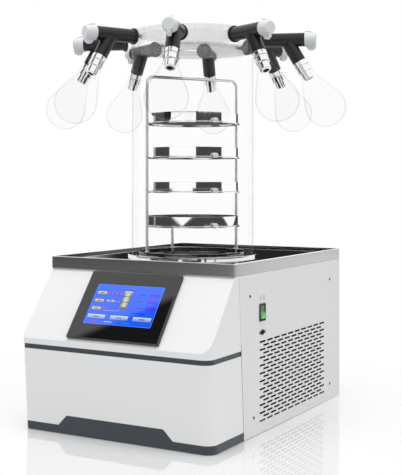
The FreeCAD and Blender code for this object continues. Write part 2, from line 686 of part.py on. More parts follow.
def make_top_deck():
    """Folded deck: skirt, rim, recessed deck and the collar of the trap mouth."""
    block = box(-HALF, HALF, FRONT, REAR, COVER_TOP, CAB_HEIGHT)
    uprights = [e for e in block.Edges if abs(e.tangentAt(e.FirstParameter).z) > 0.9]
    block = block.makeFillet(FRAME_CORNER, uprights)
    wall = FRAME_WALL
    inner_x = HALF - wall
    recess = box(-inner_x, inner_x, FRONT + wall, REAR - wall, DECK_Z, CAB_HEIGHT + OVER)
    under = box(-inner_x, inner_x, FRONT + wall, REAR - wall, COVER_TOP + SHEET, DECK_UNDER)
    hole_x = HALF - FRAME_RETURN
    mouth = box(-hole_x, hole_x, FRONT + FRAME_RETURN, REAR - FRAME_RETURN,
                COVER_TOP - OVER, COVER_TOP + SHEET + OVER)
    deck = block.cut(recess).cut(under).cut(mouth)
    deck = deck.fuse(ring(COLLAR_RADIUS, COLLAR_RADIUS - COLLAR_WALL, DECK_Z,
                          DECK_Z + COLLAR_HEIGHT, DRUM_Y))
    deck = deck.cut(rod(TRAP_RADIUS, V(0, DRUM_Y, DECK_UNDER - OVER), V(0, DRUM_Y, DECK_Z + OVER)))
    return deck.removeSplitter()


def make_cold_trap():
    """Deep-drawn well hung under the deck, with a drain stub."""
    floor = DECK_UNDER - TRAP_DEPTH
    outer = TRAP_RADIUS + TRAP_WALL
    profile = [
        (floor, DRAIN_RADIUS - TRAP_WALL), (floor, TRAP_RADIUS), (DECK_UNDER, TRAP_RADIUS),
        (DECK_UNDER, TRAP_FLANGE_RADIUS), (DECK_UNDER - TRAP_WALL, TRAP_FLANGE_RADIUS),
        (DECK_UNDER - TRAP_WALL, outer), (floor - TRAP_WALL, outer),
        (floor - TRAP_WALL, DRAIN_RADIUS), (floor - DRAIN_LENGTH, DRAIN_RADIUS),
        (floor - DRAIN_LENGTH, DRAIN_RADIUS - TRAP_WALL),
    ]
    return turned(profile, V(0, DRUM_Y, 0), Z_AXIS, V(1, 0, 0))


def make_trap_insulation():
    """Foam jacket around the well, with the cooling pipe foamed in."""
    floor = DECK_UNDER - TRAP_DEPTH - TRAP_WALL
    top = DECK_UNDER - TRAP_WALL
    bore = TRAP_RADIUS + TRAP_WALL + FIT
    drain = DRAIN_RADIUS + FIT
    profile = [
        (floor, drain), (floor, bore), (top, bore), (top, bore + INSULATION),
        (floor - INSULATION, bore + INSULATION), (floor - INSULATION, drain),
    ]
    return turned(profile, V(0, DRUM_Y, 0), Z_AXIS, V(1, 0, 0))


def make_gasket():
    return ring(GASKET_RADIUS, GASKET_BORE, DECK_Z, DRUM_FOOT, DRUM_Y)


def make_drum():
    return ring(DRUM_RADIUS, DRUM_RADIUS - DRUM_WALL, DRUM_FOOT, HEAD_FOOT, DRUM_Y)


def port_turn(index):
    """Turn about the drum axis that brings local +x onto a port."""
    return FIRST_PORT_DEG + index * 360.0 / PORTS - 90.0


def at_port(shape, index):
    """Places a shape drawn along local +x, with z = 0 on the port axis."""
    placed = shape.copy()
    placed.rotate(V(0, 0, 0), Z_AXIS, port_turn(index))
    placed.translate(V(0, DRUM_Y, PORT_Z))
    return placed


def make_manifold_head():
    """Clear head: a hollow cap with a web below and eight port stubs."""
    head = rod(DRUM_RADIUS, V(0, DRUM_Y, HEAD_FOOT), V(0, DRUM_Y, HEAD_Z))
    gallery = rod(DRUM_RADIUS - HEAD_WALL, V(0, DRUM_Y, HEAD_FOOT + HEAD_WEB),
                  V(0, DRUM_Y, HEAD_Z - HEAD_TOP))
    bore = DRUM_RADIUS - DRUM_WALL
    lip = ring(bore - HEAD_LIP_CLEAR, bore - HEAD_LIP_WALL, HEAD_FOOT - HEAD_LIP,
               HEAD_FOOT, DRUM_Y)
    head = head.fuse(lip).cut(gallery)
    head = head.cut(rod(HEAD_BORE, V(0, DRUM_Y, HEAD_FOOT - OVER),
                        V(0, DRUM_Y, HEAD_FOOT + HEAD_WEB + OVER)))
    inside = DRUM_RADIUS - HEAD_WALL / 2
    for index in range(PORTS):
        head = head.fuse(at_port(rod(STUB_RADIUS, V(inside, 0, 0), V(STUB_END, 0, 0)), index))
    for index in range(PORTS):
        start = DRUM_RADIUS - 2 * HEAD_WALL
        head = head.cut(at_port(rod(STUB_BORE, V(start, 0, 0), V(STUB_END + OVER, 0, 0)), index))
    return head.removeSplitter()


BRANCH_ANGLE = math.radians(BRANCH_DEG)
BRANCH_AXIS = V(math.sin(BRANCH_ANGLE), 0, -math.cos(BRANCH_ANGLE))
BRANCH_OUT = V(math.cos(BRANCH_ANGLE), 0, math.sin(BRANCH_ANGLE))
BRANCH_ROOT = V(BRANCH_AT, 0, 0)
BRANCH_END = BRANCH_ROOT + BRANCH_AXIS * BRANCH_LENGTH


def valve_body():
    """Rubber valve: a straight body with a branch for the flask."""
    profile = [
        (VALVE_START, 0), (VALVE_START, VALVE_COLLAR_RADIUS),
        (VALVE_START + VALVE_COLLAR, VALVE_COLLAR_RADIUS),
        (VALVE_START + VALVE_COLLAR, VALVE_RADIUS), (VALVE_END, VALVE_RADIUS), (VALVE_END, 0),
    ]
    body = turned(profile)
    body = body.fuse(rod(VALVE_RADIUS, BRANCH_ROOT, BRANCH_END)).removeSplitter()
    rims = []
    for edge in body.Edges:
        flat = edge.Curve.TypeId == "Part::GeomCircle"
        at_start = abs(edge.CenterOfMass.x - VALVE_START) < TOUCH
        at_tip = edge.CenterOfMass.distanceToPoint(BRANCH_END) < TOUCH
        if flat and (at_start or at_tip):
            rims.append(edge)
    body = body.makeFillet(VALVE_ROUND, rims)
    body = body.cut(rod(STUB_RADIUS + FIT, V(VALVE_START - OVER, 0, 0), V(STUB_END + FIT, 0, 0)))
    body = body.cut(rod(STUB_BORE, V(STUB_END, 0, 0), V(STEM_START, 0, 0)))
    body = body.cut(rod(STEM_RADIUS + FIT, V(STEM_START, 0, 0), V(VALVE_END + OVER, 0, 0)))
    tail_start = BRANCH_END - BRANCH_AXIS * TAIL_LENGTH
    body = body.cut(rod(TAIL_RADIUS + FIT, tail_start, BRANCH_END + BRANCH_AXIS))
    return body.cut(rod(GAS_BORE, BRANCH_ROOT, BRANCH_END))


def valve_knob():
    """Plug and knob in one: a drilled stem, a tapered head and a pointer blade."""
    start = VALVE_END + KNOB_GAP
    end = start + KNOB_LENGTH
    stem = rod(STEM_RADIUS, V(STEM_START + FIT, 0, 0), V(start + OVER, 0, 0))
    head = turned([(start, 0), (start, KNOB_RADIUS), (end - KNOB_SHOULDER, KNOB_SHOULDER_RADIUS),
                   (end, KNOB_END_RADIUS), (end, 0)])
    half = BLADE_THICK / 2
    blade = prism([
        V(start, -half, BLADE_TOP), V(end, -half, BLADE_TOP_END),
        V(end, -half, -BLADE_FOOT_END),
        V(end - KNOB_SHOULDER, -half, -BLADE_FOOT), V(start, -half, -BLADE_FOOT_START),
    ], V(0, BLADE_THICK, 0))
    knob = stem.fuse(head).fuse(blade).removeSplitter()
    knob = knob.cut(rod(STEM_BORE, V(STEM_START - OVER, 0, 0), BRANCH_ROOT))
    return knob.cut(rod(STEM_BORE, BRANCH_ROOT, BRANCH_ROOT + BRANCH_AXIS * 2 * STEM_RADIUS))


def flask_adapter():
    """Turned fitting between the rubber branch and the flask neck."""
    groove_1 = ADAPTER_HEAD + ADAPTER_GROOVE
    seat_end = groove_1 + ADAPTER_SEAT
    groove_2 = seat_end + ADAPTER_GROOVE
    end = groove_2 + ADAPTER_NOSE
    seat_radius = FLASK_NECK_BORE - FIT
    profile = [
        (-TAIL_LENGTH + FIT, ADAPTER_BORE), (-TAIL_LENGTH + FIT, TAIL_RADIUS), (0, TAIL_RADIUS),
        (0, ADAPTER_RADIUS), (ADAPTER_HEAD, ADAPTER_RADIUS),
        (ADAPTER_HEAD, ADAPTER_GROOVE_RADIUS), (groove_1, ADAPTER_GROOVE_RADIUS),
        (groove_1, seat_radius), (seat_end, seat_radius), (seat_end, ADAPTER_NECK_RADIUS),
        (groove_2, ADAPTER_NECK_RADIUS), (groove_2, ADAPTER_NOSE_RADIUS),
        (end - ADAPTER_CHAMFER, ADAPTER_NOSE_RADIUS),
        (end, ADAPTER_NOSE_RADIUS - ADAPTER_CHAMFER), (end, ADAPTER_BORE),
    ]
    return turned(profile, BRANCH_END, BRANCH_AXIS, BRANCH_OUT)


def pear(mouth, neck_radius, bulb_radius, lip=0.0):
    """Pear-shaped solid about the branch axis: neck, tangent cone and bulb."""
    back = FLASK_BULB_AT - FLASK_NECK_END
    reach = math.hypot(back, neck_radius)
    swing = math.atan2(neck_radius, -back) - math.acos(bulb_radius / reach)
    touch = (FLASK_BULB_AT + bulb_radius * math.cos(swing), bulb_radius * math.sin(swing))
    mid = swing / 2
    waist = (FLASK_BULB_AT + bulb_radius * math.cos(mid), bulb_radius * math.sin(mid))

    def place(pair):
        return BRANCH_END + BRANCH_AXIS * pair[0] + BRANCH_OUT * pair[1]

    outline = [(mouth, 0), (mouth, neck_radius), (FLASK_NECK_END, neck_radius), touch]
    if lip:
        collar = mouth + FLASK_LIP_HEIGHT
        outline = [(mouth, 0), (mouth, neck_radius + lip), (collar, neck_radius + lip),
                   (collar, neck_radius), (FLASK_NECK_END, neck_radius), touch]
    edges = []
    for a, b in zip(outline, outline[1:]):
        edges.append(Part.LineSegment(place(a), place(b)).toShape())
    foot = (FLASK_BULB_AT + bulb_radius, 0)
    edges.append(Part.Arc(place(touch), place(waist), place(foot)).toShape())
    edges.append(Part.LineSegment(place(foot), place(outline[0])).toShape())
    return Part.Face(Part.Wire(edges)).revolve(BRANCH_END, BRANCH_AXIS, 360)


def glass_flask():
    outer = pear(FLASK_MOUTH, FLASK_NECK_BORE + FLASK_WALL, FLASK_BULB_RADIUS, FLASK_LIP)
    return outer.cut(pear(FLASK_MOUTH - OVER, FLASK_NECK_BORE, FLASK_BULB_RADIUS - FLASK_WALL))


def make_flask_adapters():
    return Part.makeCompound([at_port(flask_adapter(), index) for index in range(PORTS)])


def around(degrees, radius, z):
    """Point at an angle from the front, a radius from the drum axis."""
    angle = math.radians(degrees)
    return V(radius * math.sin(angle), DRUM_Y - radius * math.cos(angle), z)


def tray_underside(level):
    return DECK_Z + TRAY_FIRST + level * TRAY_PITCH


def rack_hoop():
    """Upright, top bar and upright, bent from one rod."""
    top = DECK_Z + RACK_HEIGHT
    left = RACK_DEG - 180
    bend = RACK_BEND
    cut = bend * (1 - math.cos(math.radians(45)))
    inner = RACK_RADIUS - bend
    points = [
        around(RACK_DEG, RACK_RADIUS, DECK_Z), around(RACK_DEG, RACK_RADIUS, top - bend),
        around(RACK_DEG, RACK_RADIUS - cut, top - cut), around(RACK_DEG, inner, top),
        around(left, inner, top), around(left, RACK_RADIUS - cut, top - cut),
        around(left, RACK_RADIUS, top - bend), around(left, RACK_RADIUS, DECK_Z),
    ]
    path = Part.Wire([
        Part.LineSegment(points[0], points[1]).toShape(),
        Part.Arc(points[1], points[2], points[3]).toShape(),
        Part.LineSegment(points[3], points[4]).toShape(),
        Part.Arc(points[4], points[5], points[6]).toShape(),
        Part.LineSegment(points[6], points[7]).toShape(),
    ])
    section = Part.Wire([Part.makeCircle(ROD_RADIUS, points[0], Z_AXIS)])
    return path.makePipeShell([section], True, True)


def toward(degrees, x0, x1, width, z0, z1):
    """Block along a radius of the drum, at an angle from the front."""
    block = box(x0, x1, -width / 2, width / 2, z0, z1)
    block.rotate(V(0, 0, 0), Z_AXIS, degrees - 90)
    block.translate(V(0, DRUM_Y, 0))
    return block


def shelf_stud(degrees, top):
    """Round-nosed stud on a tab at the edge of a shelf."""
    z = top + STUD_RISE
    tab = toward(degrees, SHELF_RADIUS - STUD_LUG_THICK, SHELF_RADIUS, STUD_LUG,
                 top - SHELF_THICK, z + STUD_LUG / 2)
    head_start = SHELF_RADIUS + STUD_NECK
    nose = around(degrees, head_start + STUD_HEAD_LENGTH, z)
    head = rod(STUD_HEAD, around(degrees, head_start, z), nose)
    rims = [e for e in head.Edges if e.CenterOfMass.distanceToPoint(nose) < TOUCH]
    head = head.makeFillet(STUD_ROUND, rims)
    neck = rod(STUD_RADIUS, around(degrees, SHELF_RADIUS - OVER, z),
               around(degrees, head_start + OVER, z))
    return tab.fuse(neck).fuse(head)


def rack_shelf(level):
    """Flat ring under a tray, with an ear to each upright and two studs."""
    top = tray_underside(level)
    shelf = ring(SHELF_RADIUS, SHELF_BORE, top - SHELF_THICK, top, DRUM_Y)
    for degrees in (RACK_DEG, RACK_DEG - 180):
        shelf = shelf.fuse(toward(degrees, SHELF_RADIUS - 2 * OVER, RACK_RADIUS, SHELF_EAR,
                                  top - SHELF_THICK, top))
    for degrees in (RACK_DEG - 90, RACK_DEG + 90):
        shelf = shelf.fuse(shelf_stud(degrees, top))
    return shelf


def make_tray_rack():
    rack = rack_hoop()
    rear_leg = RACK_DEG + 90
    shelf_z = tray_underside(0) - SHELF_THICK / 2
    rack = rack.fuse(rod(ROD_RADIUS, around(rear_leg, REAR_LEG_RADIUS, DECK_Z),
                         around(rear_leg, REAR_LEG_RADIUS, shelf_z)))
    feet = ((RACK_DEG, RACK_RADIUS), (RACK_DEG - 180, RACK_RADIUS), (rear_leg, REAR_LEG_RADIUS))
    for degrees, radius in feet:
        rack = rack.fuse(rod(SLEEVE_RADIUS, around(degrees, radius, DECK_Z),
                             around(degrees, radius, DECK_Z + SLEEVE_HEIGHT)))
    for level in range(TRAY_COUNT):
        rack = rack.fuse(rack_shelf(level))
    return rack.removeSplitter()


def make_tray(level):
    """Shallow pressed pan with an open top."""
    foot = tray_underside(level)
    pan = rod(TRAY_RADIUS, V(0, DRUM_Y, foot), V(0, DRUM_Y, foot + TRAY_HEIGHT))
    return pan.cut(rod(TRAY_RADIUS - TRAY_SHEET, V(0, DRUM_Y, foot + TRAY_SHEET),
                       V(0, DRUM_Y, foot + TRAY_HEIGHT + OVER)))


def make_compressor():
    """Hermetic compressor can on its mounting plate and pads."""
    x, y = COMPRESSOR_X, COMPRESSOR_Y
    plate_z = PAN_TOP + COMPRESSOR_PAD
    side = COMPRESSOR_PLATE_SIDE
    plate = box(x - side / 2, x + side / 2, y - side / 2, y + side / 2,
                plate_z, plate_z + COMPRESSOR_PLATE)
    can_foot = plate_z + COMPRESSOR_PLATE
    top = can_foot + COMPRESSOR_HEIGHT
    can = rod(COMPRESSOR_RADIUS, V(x, y, can_foot), V(x, y, top))
    rims = [e for e in can.Edges if e.BoundBox.ZMin > top - TOUCH]
    can = can.makeFillet(COMPRESSOR_DOME, rims)
    body = plate.fuse(can)
    reach = side / 2 - COMPRESSOR_PAD_INSET
    for dx in (-reach, reach):
        for dy in (-reach, reach):
            body = body.fuse(rod(COMPRESSOR_PAD_RADIUS, V(x + dx, y + dy, PAN_TOP),
                                 V(x + dx, y + dy, plate_z)))
    return body.removeSplitter()


def make_condenser():
    """Finned coil block behind the vents, grooved between its fins."""
    rear = COIL_FRONT + COIL_LENGTH
    face = COIL_BACK
    block = box(face - COIL_THICK, face, COIL_FRONT, rear, PAN_TOP, PAN_TOP + COIL_HEIGHT)
    pitch = (COIL_LENGTH - 2 * COIL_END_PLATE) / (2 * COIL_FIN_COUNT + 1)
    for gap in range(COIL_FIN_COUNT):
        y = COIL_FRONT + COIL_END_PLATE + (2 * gap + 1) * pitch
        block = block.cut(box(face - COIL_FIN_DEPTH, face + OVER, y, y + pitch,
                              PAN_TOP + COIL_END_PLATE, PAN_TOP + COIL_HEIGHT - COIL_END_PLATE))
    return block


FAN_FACE = COIL_BACK - COIL_THICK
FAN_CENTRE = V(0, COIL_FRONT + COIL_LENGTH / 2, PAN_TOP + COIL_HEIGHT / 2)


def make_fan_shroud():
    """Square duct on the condenser, with the motor on four spokes."""
    y, z = FAN_CENTRE.y, FAN_CENTRE.z
    duct = box(FAN_FACE - FAN_THICK, FAN_FACE, COIL_FRONT, COIL_FRONT + COIL_LENGTH,
               PAN_TOP, PAN_TOP + COIL_HEIGHT)
    duct = duct.cut(rod(FAN_RADIUS + FAN_TIP_GAP, V(FAN_FACE - FAN_THICK - OVER, y, z),
                        V(FAN_FACE + OVER, y, z)))
    spoke_x = FAN_FACE - FAN_THICK
    half = FAN_SPOKE / 2
    reach = FAN_RADIUS + FAN_TIP_GAP + OVER
    spokes = box(spoke_x, spoke_x + FAN_SPOKE_THICK, y - reach, y + reach, z - half, z + half)
    spokes = spokes.fuse(box(spoke_x, spoke_x + FAN_SPOKE_THICK, y - half, y + half, z - reach, z + reach))
    motor = rod(FAN_MOTOR_RADIUS, V(spoke_x + FAN_SPOKE_THICK - FAN_MOTOR_LENGTH, y, z), V(spoke_x + FAN_SPOKE_THICK, y, z))
    shaft = rod(FAN_SHAFT_RADIUS, V(spoke_x, y, z),
                V(spoke_x + FAN_SPOKE_THICK + FAN_MOTOR_STANDOFF + FAN_HUB_LENGTH, y, z))
    return duct.fuse(spokes).fuse(motor).fuse(shaft).removeSplitter()


def make_fan_rotor():
    """Axial fan: hub on the motor shaft and pitched blades."""
    start = FAN_FACE - FAN_THICK + FAN_SPOKE_THICK + FAN_MOTOR_STANDOFF
    end = start + FAN_HUB_LENGTH
    hub = rod(FAN_HUB_RADIUS, V(start, 0, 0), V(end, 0, 0))
    middle = (start + end) / 2
    for index in range(FAN_BLADES):
        blade = box(-FAN_BLADE_THICK / 2, FAN_BLADE_THICK / 2, -FAN_BLADE_CHORD / 2,
                    FAN_BLADE_CHORD / 2, FAN_HUB_RADIUS / 2, FAN_RADIUS)
        blade.rotate(V(0, 0, 0), Z_AXIS, FAN_BLADE_TWIST)
        blade.translate(V(middle, 0, 0))
        blade.rotate(V(0, 0, 0), V(1, 0, 0), index * 360.0 / FAN_BLADES)
        hub = hub.fuse(blade)
    hub = hub.common(rod(FAN_RADIUS, V(start, 0, 0), V(end, 0, 0)))
    hub = hub.cut(rod(FAN_SHAFT_RADIUS + FIT, V(start - OVER, 0, 0), V(end + OVER, 0, 0)))
    hub.translate(FAN_CENTRE)
    return hub.removeSplitter()


def middle_y():
    """Middle of the whole part in y: the front flask to the pump port."""
    bulb = BRANCH_AT + (BRANCH_LENGTH + FLASK_BULB_AT) * math.sin(BRANCH_ANGLE)
    front_turn = math.radians(min(FIRST_PORT_DEG % (360.0 / PORTS),
                                  -FIRST_PORT_DEG % (360.0 / PORTS)))
    flask_front = DRUM_Y - bulb * math.cos(front_turn) - FLASK_BULB_RADIUS
    nose_front = SLOPE_FOOT_Y
    port_rear = REAR + NOZZLE_REACH
    return (min(flask_front, nose_front) + port_rear) / 2


def numbered(name, makers):
    """Name and shape of each member of a set."""
    return [(f"{name}_{index + 1}", shape) for index, shape in enumerate(makers)]


def all_parts():
    parts = [
        ("base_pan", make_base_pan()), ("feet", make_feet()), ("plinth", make_plinth()),
        ("front_lower_cover", make_front_lower_cover()), ("trim_band", make_trim_band()),
        ("front_upper_cover", make_front_upper_cover()),
        ("screen_bezel", make_screen_bezel()), ("lcd_panel", make_lcd_panel()),
        ("side_panel_right", make_side_panel_right()),
        ("side_panel_left", make_side_panel_left()),
        ("panel_screws", make_panel_screws()), ("switch_housing", make_switch_housing()),
        ("switch_rocker", make_switch_rocker()), ("data_socket", make_data_socket()),
        ("rear_panel", make_rear_panel()), ("power_inlet", make_power_inlet()),
        ("vacuum_nozzle", make_vacuum_nozzle()), ("top_deck", make_top_deck()),
        ("cold_trap", make_cold_trap()), ("trap_insulation", make_trap_insulation()),
        ("compressor", make_compressor()), ("condenser", make_condenser()),
        ("fan_shroud", make_fan_shroud()), ("fan_rotor", make_fan_rotor()),
        ("gasket", make_gasket()), ("drum", make_drum()),
        ("manifold_head", make_manifold_head()), ("tray_rack", make_tray_rack()),
        ("flask_adapters", make_flask_adapters()),
    ]
    parts += numbered("tray", [make_tray(level) for level in range(TRAY_COUNT)])
    body, knob, flask = valve_body(), valve_knob(), glass_flask()
    parts += numbered("valve_body", [at_port(body, index) for index in range(PORTS)])
    parts += numbered("valve_knob", [at_port(knob, index) for index in range(PORTS)])
    parts += numbered("flask", [at_port(flask, index) for index in range(PORTS)])
    return parts


def main():
    os.makedirs("parts", exist_ok=True)
    to_origin = V(0, -middle_y(), 0)
    for name, shape in all_parts():
        shape.translate(to_origin)
        shape.exportStep(f"parts/{name}.step")
        print(f"{name}: {len(shape.Solids)} solid(s), {shape.Volume / 1000:.1f} cm3")


main()
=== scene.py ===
"""Looks, light and camera for the bench-top freeze dryer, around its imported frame.

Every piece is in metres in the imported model's own frame: +Z up, the front with the
screen toward -Y, the side with the switch and vents toward +X. Sizes in the classes
are in millimetres, and a Form turns them into metres when it makes its object.
"""

from __future__ import annotations

import logging
import math
from collections.abc import Callable
from dataclasses import KW_ONLY, dataclass, field
from enum import Enum
from itertools import product
from typing import Any

import bmesh
import bpy
import numpy as np
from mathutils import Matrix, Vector
from numpy.typing import NDArray


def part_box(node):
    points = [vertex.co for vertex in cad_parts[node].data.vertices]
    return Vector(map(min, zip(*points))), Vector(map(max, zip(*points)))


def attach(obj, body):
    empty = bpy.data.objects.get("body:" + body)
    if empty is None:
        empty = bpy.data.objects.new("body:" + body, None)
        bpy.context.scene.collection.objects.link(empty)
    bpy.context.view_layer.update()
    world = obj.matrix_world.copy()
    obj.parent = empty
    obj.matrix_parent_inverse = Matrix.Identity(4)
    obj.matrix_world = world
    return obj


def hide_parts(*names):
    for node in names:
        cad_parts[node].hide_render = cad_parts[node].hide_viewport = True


Points = NDArray[np.float64]
Pair = tuple[float, float]
Triple = tuple[float, float, float]
Colour = Triple
Inputs = dict[Any, Any] | None

LOG = logging.getLogger("freeze_dryer")
MM = 0.001
ROOT = "cabinet"
OUT = np.array([1.0, 0.0, 0.0])
UP = np.array([0.0, 0.0, 1.0])
WHITE = (1.0, 1.0, 1.0)
NEAR_BLACK = (0.012, 0.012, 0.013)
PORTS = 8
STUB_END = 174.0
GAS_BORE = 7.0
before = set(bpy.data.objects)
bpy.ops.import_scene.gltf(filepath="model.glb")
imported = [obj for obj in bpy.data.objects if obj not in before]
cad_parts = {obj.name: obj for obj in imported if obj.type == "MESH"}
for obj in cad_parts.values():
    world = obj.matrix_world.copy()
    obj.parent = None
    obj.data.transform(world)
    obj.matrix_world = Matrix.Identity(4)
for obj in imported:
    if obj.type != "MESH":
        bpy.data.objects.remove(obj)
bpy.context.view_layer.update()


# ---------------------------------------------------------------- shader maths


def arithmetic(operation: str, swapped: bool = False) -> Callable[[Wire, Any], Wire]:
    """Makes a Wire method that adds one Math node.

    Args:
        operation: the node's operation.
        swapped: the other value comes first.

    Returns:
        The method.
    """

    def method(self: Wire, other: Any) -> Wire:
        """The operation on self and other."""
        return self.combine(operation, *((other, self) if swapped else (self, other)))

    return method


class Wire:
    """A shader value: Python arithmetic on it adds Math nodes to its tree."""

    def __init__(self, tree: Tree, socket: bpy.types.NodeSocket) -> None:
        """Wraps one output socket of a tree."""
        self.tree = tree
        self.socket = socket

    def combine(self, operation: str, *values: Any) -> Wire:
        """The value of one Math node on numbers or wires, in socket order."""
        return self.tree.node("Math", "Value", dict(enumerate(values)), operation=operation)

    __add__ = __radd__ = arithmetic("ADD")
    __mul__ = __rmul__ = arithmetic("MULTIPLY")
    __sub__ = arithmetic("SUBTRACT")
    __rsub__ = arithmetic("SUBTRACT", swapped=True)
    __pow__ = arithmetic("POWER")
    __gt__ = arithmetic("GREATER_THAN")
    __lt__ = arithmetic("LESS_THAN")

    def __abs__(self) -> Wire:
        """The size of self without its sign."""
        return self.combine("ABSOLUTE", self)

    def clamp(self, low: float = 0.0, high: float = 1.0) -> Wire:
        """self held between low and high."""
        return self.tree.node("Clamp", "Result", {"Value": self, "Min": low, "Max": high})

    def ramp(self, low: float, high: float) -> Wire:
        """Smooth rise from 0 at low to 1 at high."""
        inputs = {"Value": self, "From Min": low, "From Max": high}
        return self.tree.node("MapRange", "Result", inputs, interpolation_type="SMOOTHSTEP")

    def hump(self, rise: Pair, fall: Pair) -> Wire:
        """A smooth rise over one range and a smooth fall over the next."""
        return self.ramp(*rise) * (1.0 - self.ramp(*fall))

    def band(self, low: float, high: float, soft: float) -> Wire:
        """1 between low and high, with edges this soft, else 0."""
        return self.hump((low - soft, low + soft), (high - soft, high + soft))

    def heading(self, other: Wire) -> Wire:
        """Angle of the vector (other, self) in degrees, from -180 to 180."""
        return self.combine("ARCTAN2", self, other) * (180.0 / math.pi)


class Tree:
    """One node tree, of a material or of the world."""

    def __init__(self, owner: Any) -> None:
        """Clears the owner's nodes and starts again.

        Args:
            owner: the material or the world that holds the nodes.
        """
        owner.use_nodes = True
        self.nodes = owner.node_tree.nodes
        self.links = owner.node_tree.links
        self.nodes.clear()

    def add(self, kind: str, inputs: Inputs = None, **settings: Any) -> bpy.types.Node:
        """Adds one node.

        Args:
            kind: the node's type, without its "ShaderNode".
            inputs: numbers, colours or wires by socket name or number.
            settings: the node's own settings, set first.

        Returns:
            The node.
        """
        made = self.nodes.new(f"ShaderNode{kind}")
        for key, value in settings.items():
            setattr(made, key, value)
        for key, value in (inputs or {}).items():
            if isinstance(key, str):
                socket = [s for s in made.inputs if s.name == key and s.enabled][0]
            else:
                socket = made.inputs[key]
            if isinstance(value, Wire):
                self.links.new(value.socket, socket)
            elif socket.type == "RGBA":
                socket.default_value = (*value, 1.0)
            else:
                socket.default_value = value
        return made

    def output(self, made: bpy.types.Node, name: str) -> Wire:
        """One enabled output of a node."""
        return Wire(self, [s for s in made.outputs if s.name == name and s.enabled][0])

    def node(self, kind: str, name: str, inputs: Inputs = None, **settings: Any) -> Wire:
        """Adds one node and gives the output of this name."""
        return self.output(self.add(kind, inputs, **settings), name)

    def axis(self, name: str) -> Wire:
        """One object coordinate: metres in the part's own frame."""
        return self.node("SeparateXYZ", name, {"Vector": self.node("TexCoord", "Object")})

    def noise(self, scale: float, detail: float = 2.0, stretch: Triple | None = None) -> Wire:
        """Noise from 0 to 1 on object coordinates, which may be stretched first.

        Args:
            scale: its scale, per metre.
            detail: how many finer layers it has.
            stretch: what the coordinates are multiplied by first.

        Returns:
            The noise.
        """
        where = self.node("TexCoord", "Object")
        if stretch:
            where = self.node("Mapping", "Vector", {"Vector": where, "Scale": stretch})
        return self.node("TexNoise", "Fac", {"Vector": where, "Scale": scale, "Detail": detail})

    def mix(self, factor: Any, low: Any, high: Any) -> Wire:
        """Mix of two colours by a factor."""
        return self.node("Mix", "Result", {"Factor": factor, "A": low, "B": high}, data_type="RGBA")

    def blend(self, factor: Any, first: Wire, second: Wire) -> Wire:
        """Mix of two shaders by a factor."""
        return self.node("MixShader", "Shader", {0: factor, 1: first, 2: second})

    def bump(self, height: Wire, distance: float) -> Wire:
        """Normal of a surface with this height, in metres times distance."""
        inputs = {"Height": height, "Distance": distance, "Strength": 1.0}
        return self.node("Bump", "Normal", inputs)

    def principled(self, **inputs: Any) -> Wire:
        """A Principled surface; the sockets' names have underscores for spaces."""
        named = {key.replace("_", " "): value for key, value in inputs.items()}
        return self.node("BsdfPrincipled", "BSDF", named)


# -------------------------------------------------------------------- finishes


@dataclass(frozen=True)
class Finish:
    """A named surface finish: one noise tones it and shifts its roughness, one lifts it.

    The kinds below set their own values, and some lay out nodes of their own.
    """

    name: str
    colour: Colour
    roughness: float = 0.4
    _: KW_ONLY
    depth: float = 0.985
    spread: float = 0.06
    metallic: float = 0.0

    def noises(self, tree: Tree) -> tuple[Wire, Wire, float]:
        """The noise for the tone, the noise for the relief and the relief's height."""
        raise NotImplementedError

    def lay(self, tree: Tree) -> Wire:
        """Lays out the finish's nodes.

        Args:
            tree: the material's node tree.

        Returns:
            The surface's shader.
        """
        broad, fine, relief = self.noises(tree)
        return tree.principled(
            Base_Color=self.toned(tree, broad, self.depth), Metallic=self.metallic,
            Roughness=broad * self.spread + (self.roughness - self.spread / 2),
            Normal=tree.bump(fine, relief))

    def toned(self, tree: Tree, factor: Wire, depth: float) -> Wire:
        """The colour, times depth where the factor is 0."""
        return tree.mix(factor, deeper(self.colour, depth), self.colour)

    def material(self) -> bpy.types.Material:
        """The finish as a material, made once.

        Returns:
            The material, the same one at every call.
        """
        made = bpy.data.materials.get(self.name)
        if made is None:
            made = bpy.data.materials.new(self.name)
            made.diffuse_color = (*self.colour, 1.0)
            tree = Tree(made)
            tree.add("OutputMaterial", {"Surface": self.lay(tree)})
        return made


def deeper(colour: Colour, by: float) -> Colour:
    """The colour multiplied by a number."""
    return (colour[0] * by, colour[1] * by, colour[2] * by)


@dataclass(frozen=True)
class Coated(Finish):
    """Powder coat or moulded plastic: an even colour with a fine grain."""

    grain: float = 2600.0
    relief: float = 3e-5

    def noises(self, tree: Tree) -> tuple[Wire, Wire, float]:
        """Broad patches and a grain."""
        return tree.noise(7.0, 3.0), tree.noise(self.grain, 1.0), self.relief


@dataclass(frozen=True)
class SlotShadeAndWell(Finish):
    """Grained coat, second colour in a box: painted shade in vent slots; a socket's dark well."""

    _: KW_ONLY
    second: Colour
    low: Pair
    high: Pair
    grain: Pair
    reach: float = 1.0
    relief: float = 3e-5

    def lay(self, tree: Tree) -> Wire:
        """The second colour fills low to high in y and z, as far out in x as the reach.

        Args:
            tree: the material's node tree.

        Returns:
            The surface's shader.
        """
        y, z = tree.axis("Y"), tree.axis("Z")
        # On a vented panel the second colour is painted shade: slot walls below the paint skin go
        # near black.
        inside = (y > self.low[0]) * (y < self.high[0]) * (z > self.low[1]) * (z < self.high[1])
        inside = inside * (abs(tree.axis("X")) < self.reach)
        fine = tree.noise(*self.grain)
        return tree.principled(
            Base_Color=tree.mix(inside, self.toned(tree, fine, self.depth), self.second),
            Roughness=self.roughness, Normal=tree.bump(fine, self.relief))


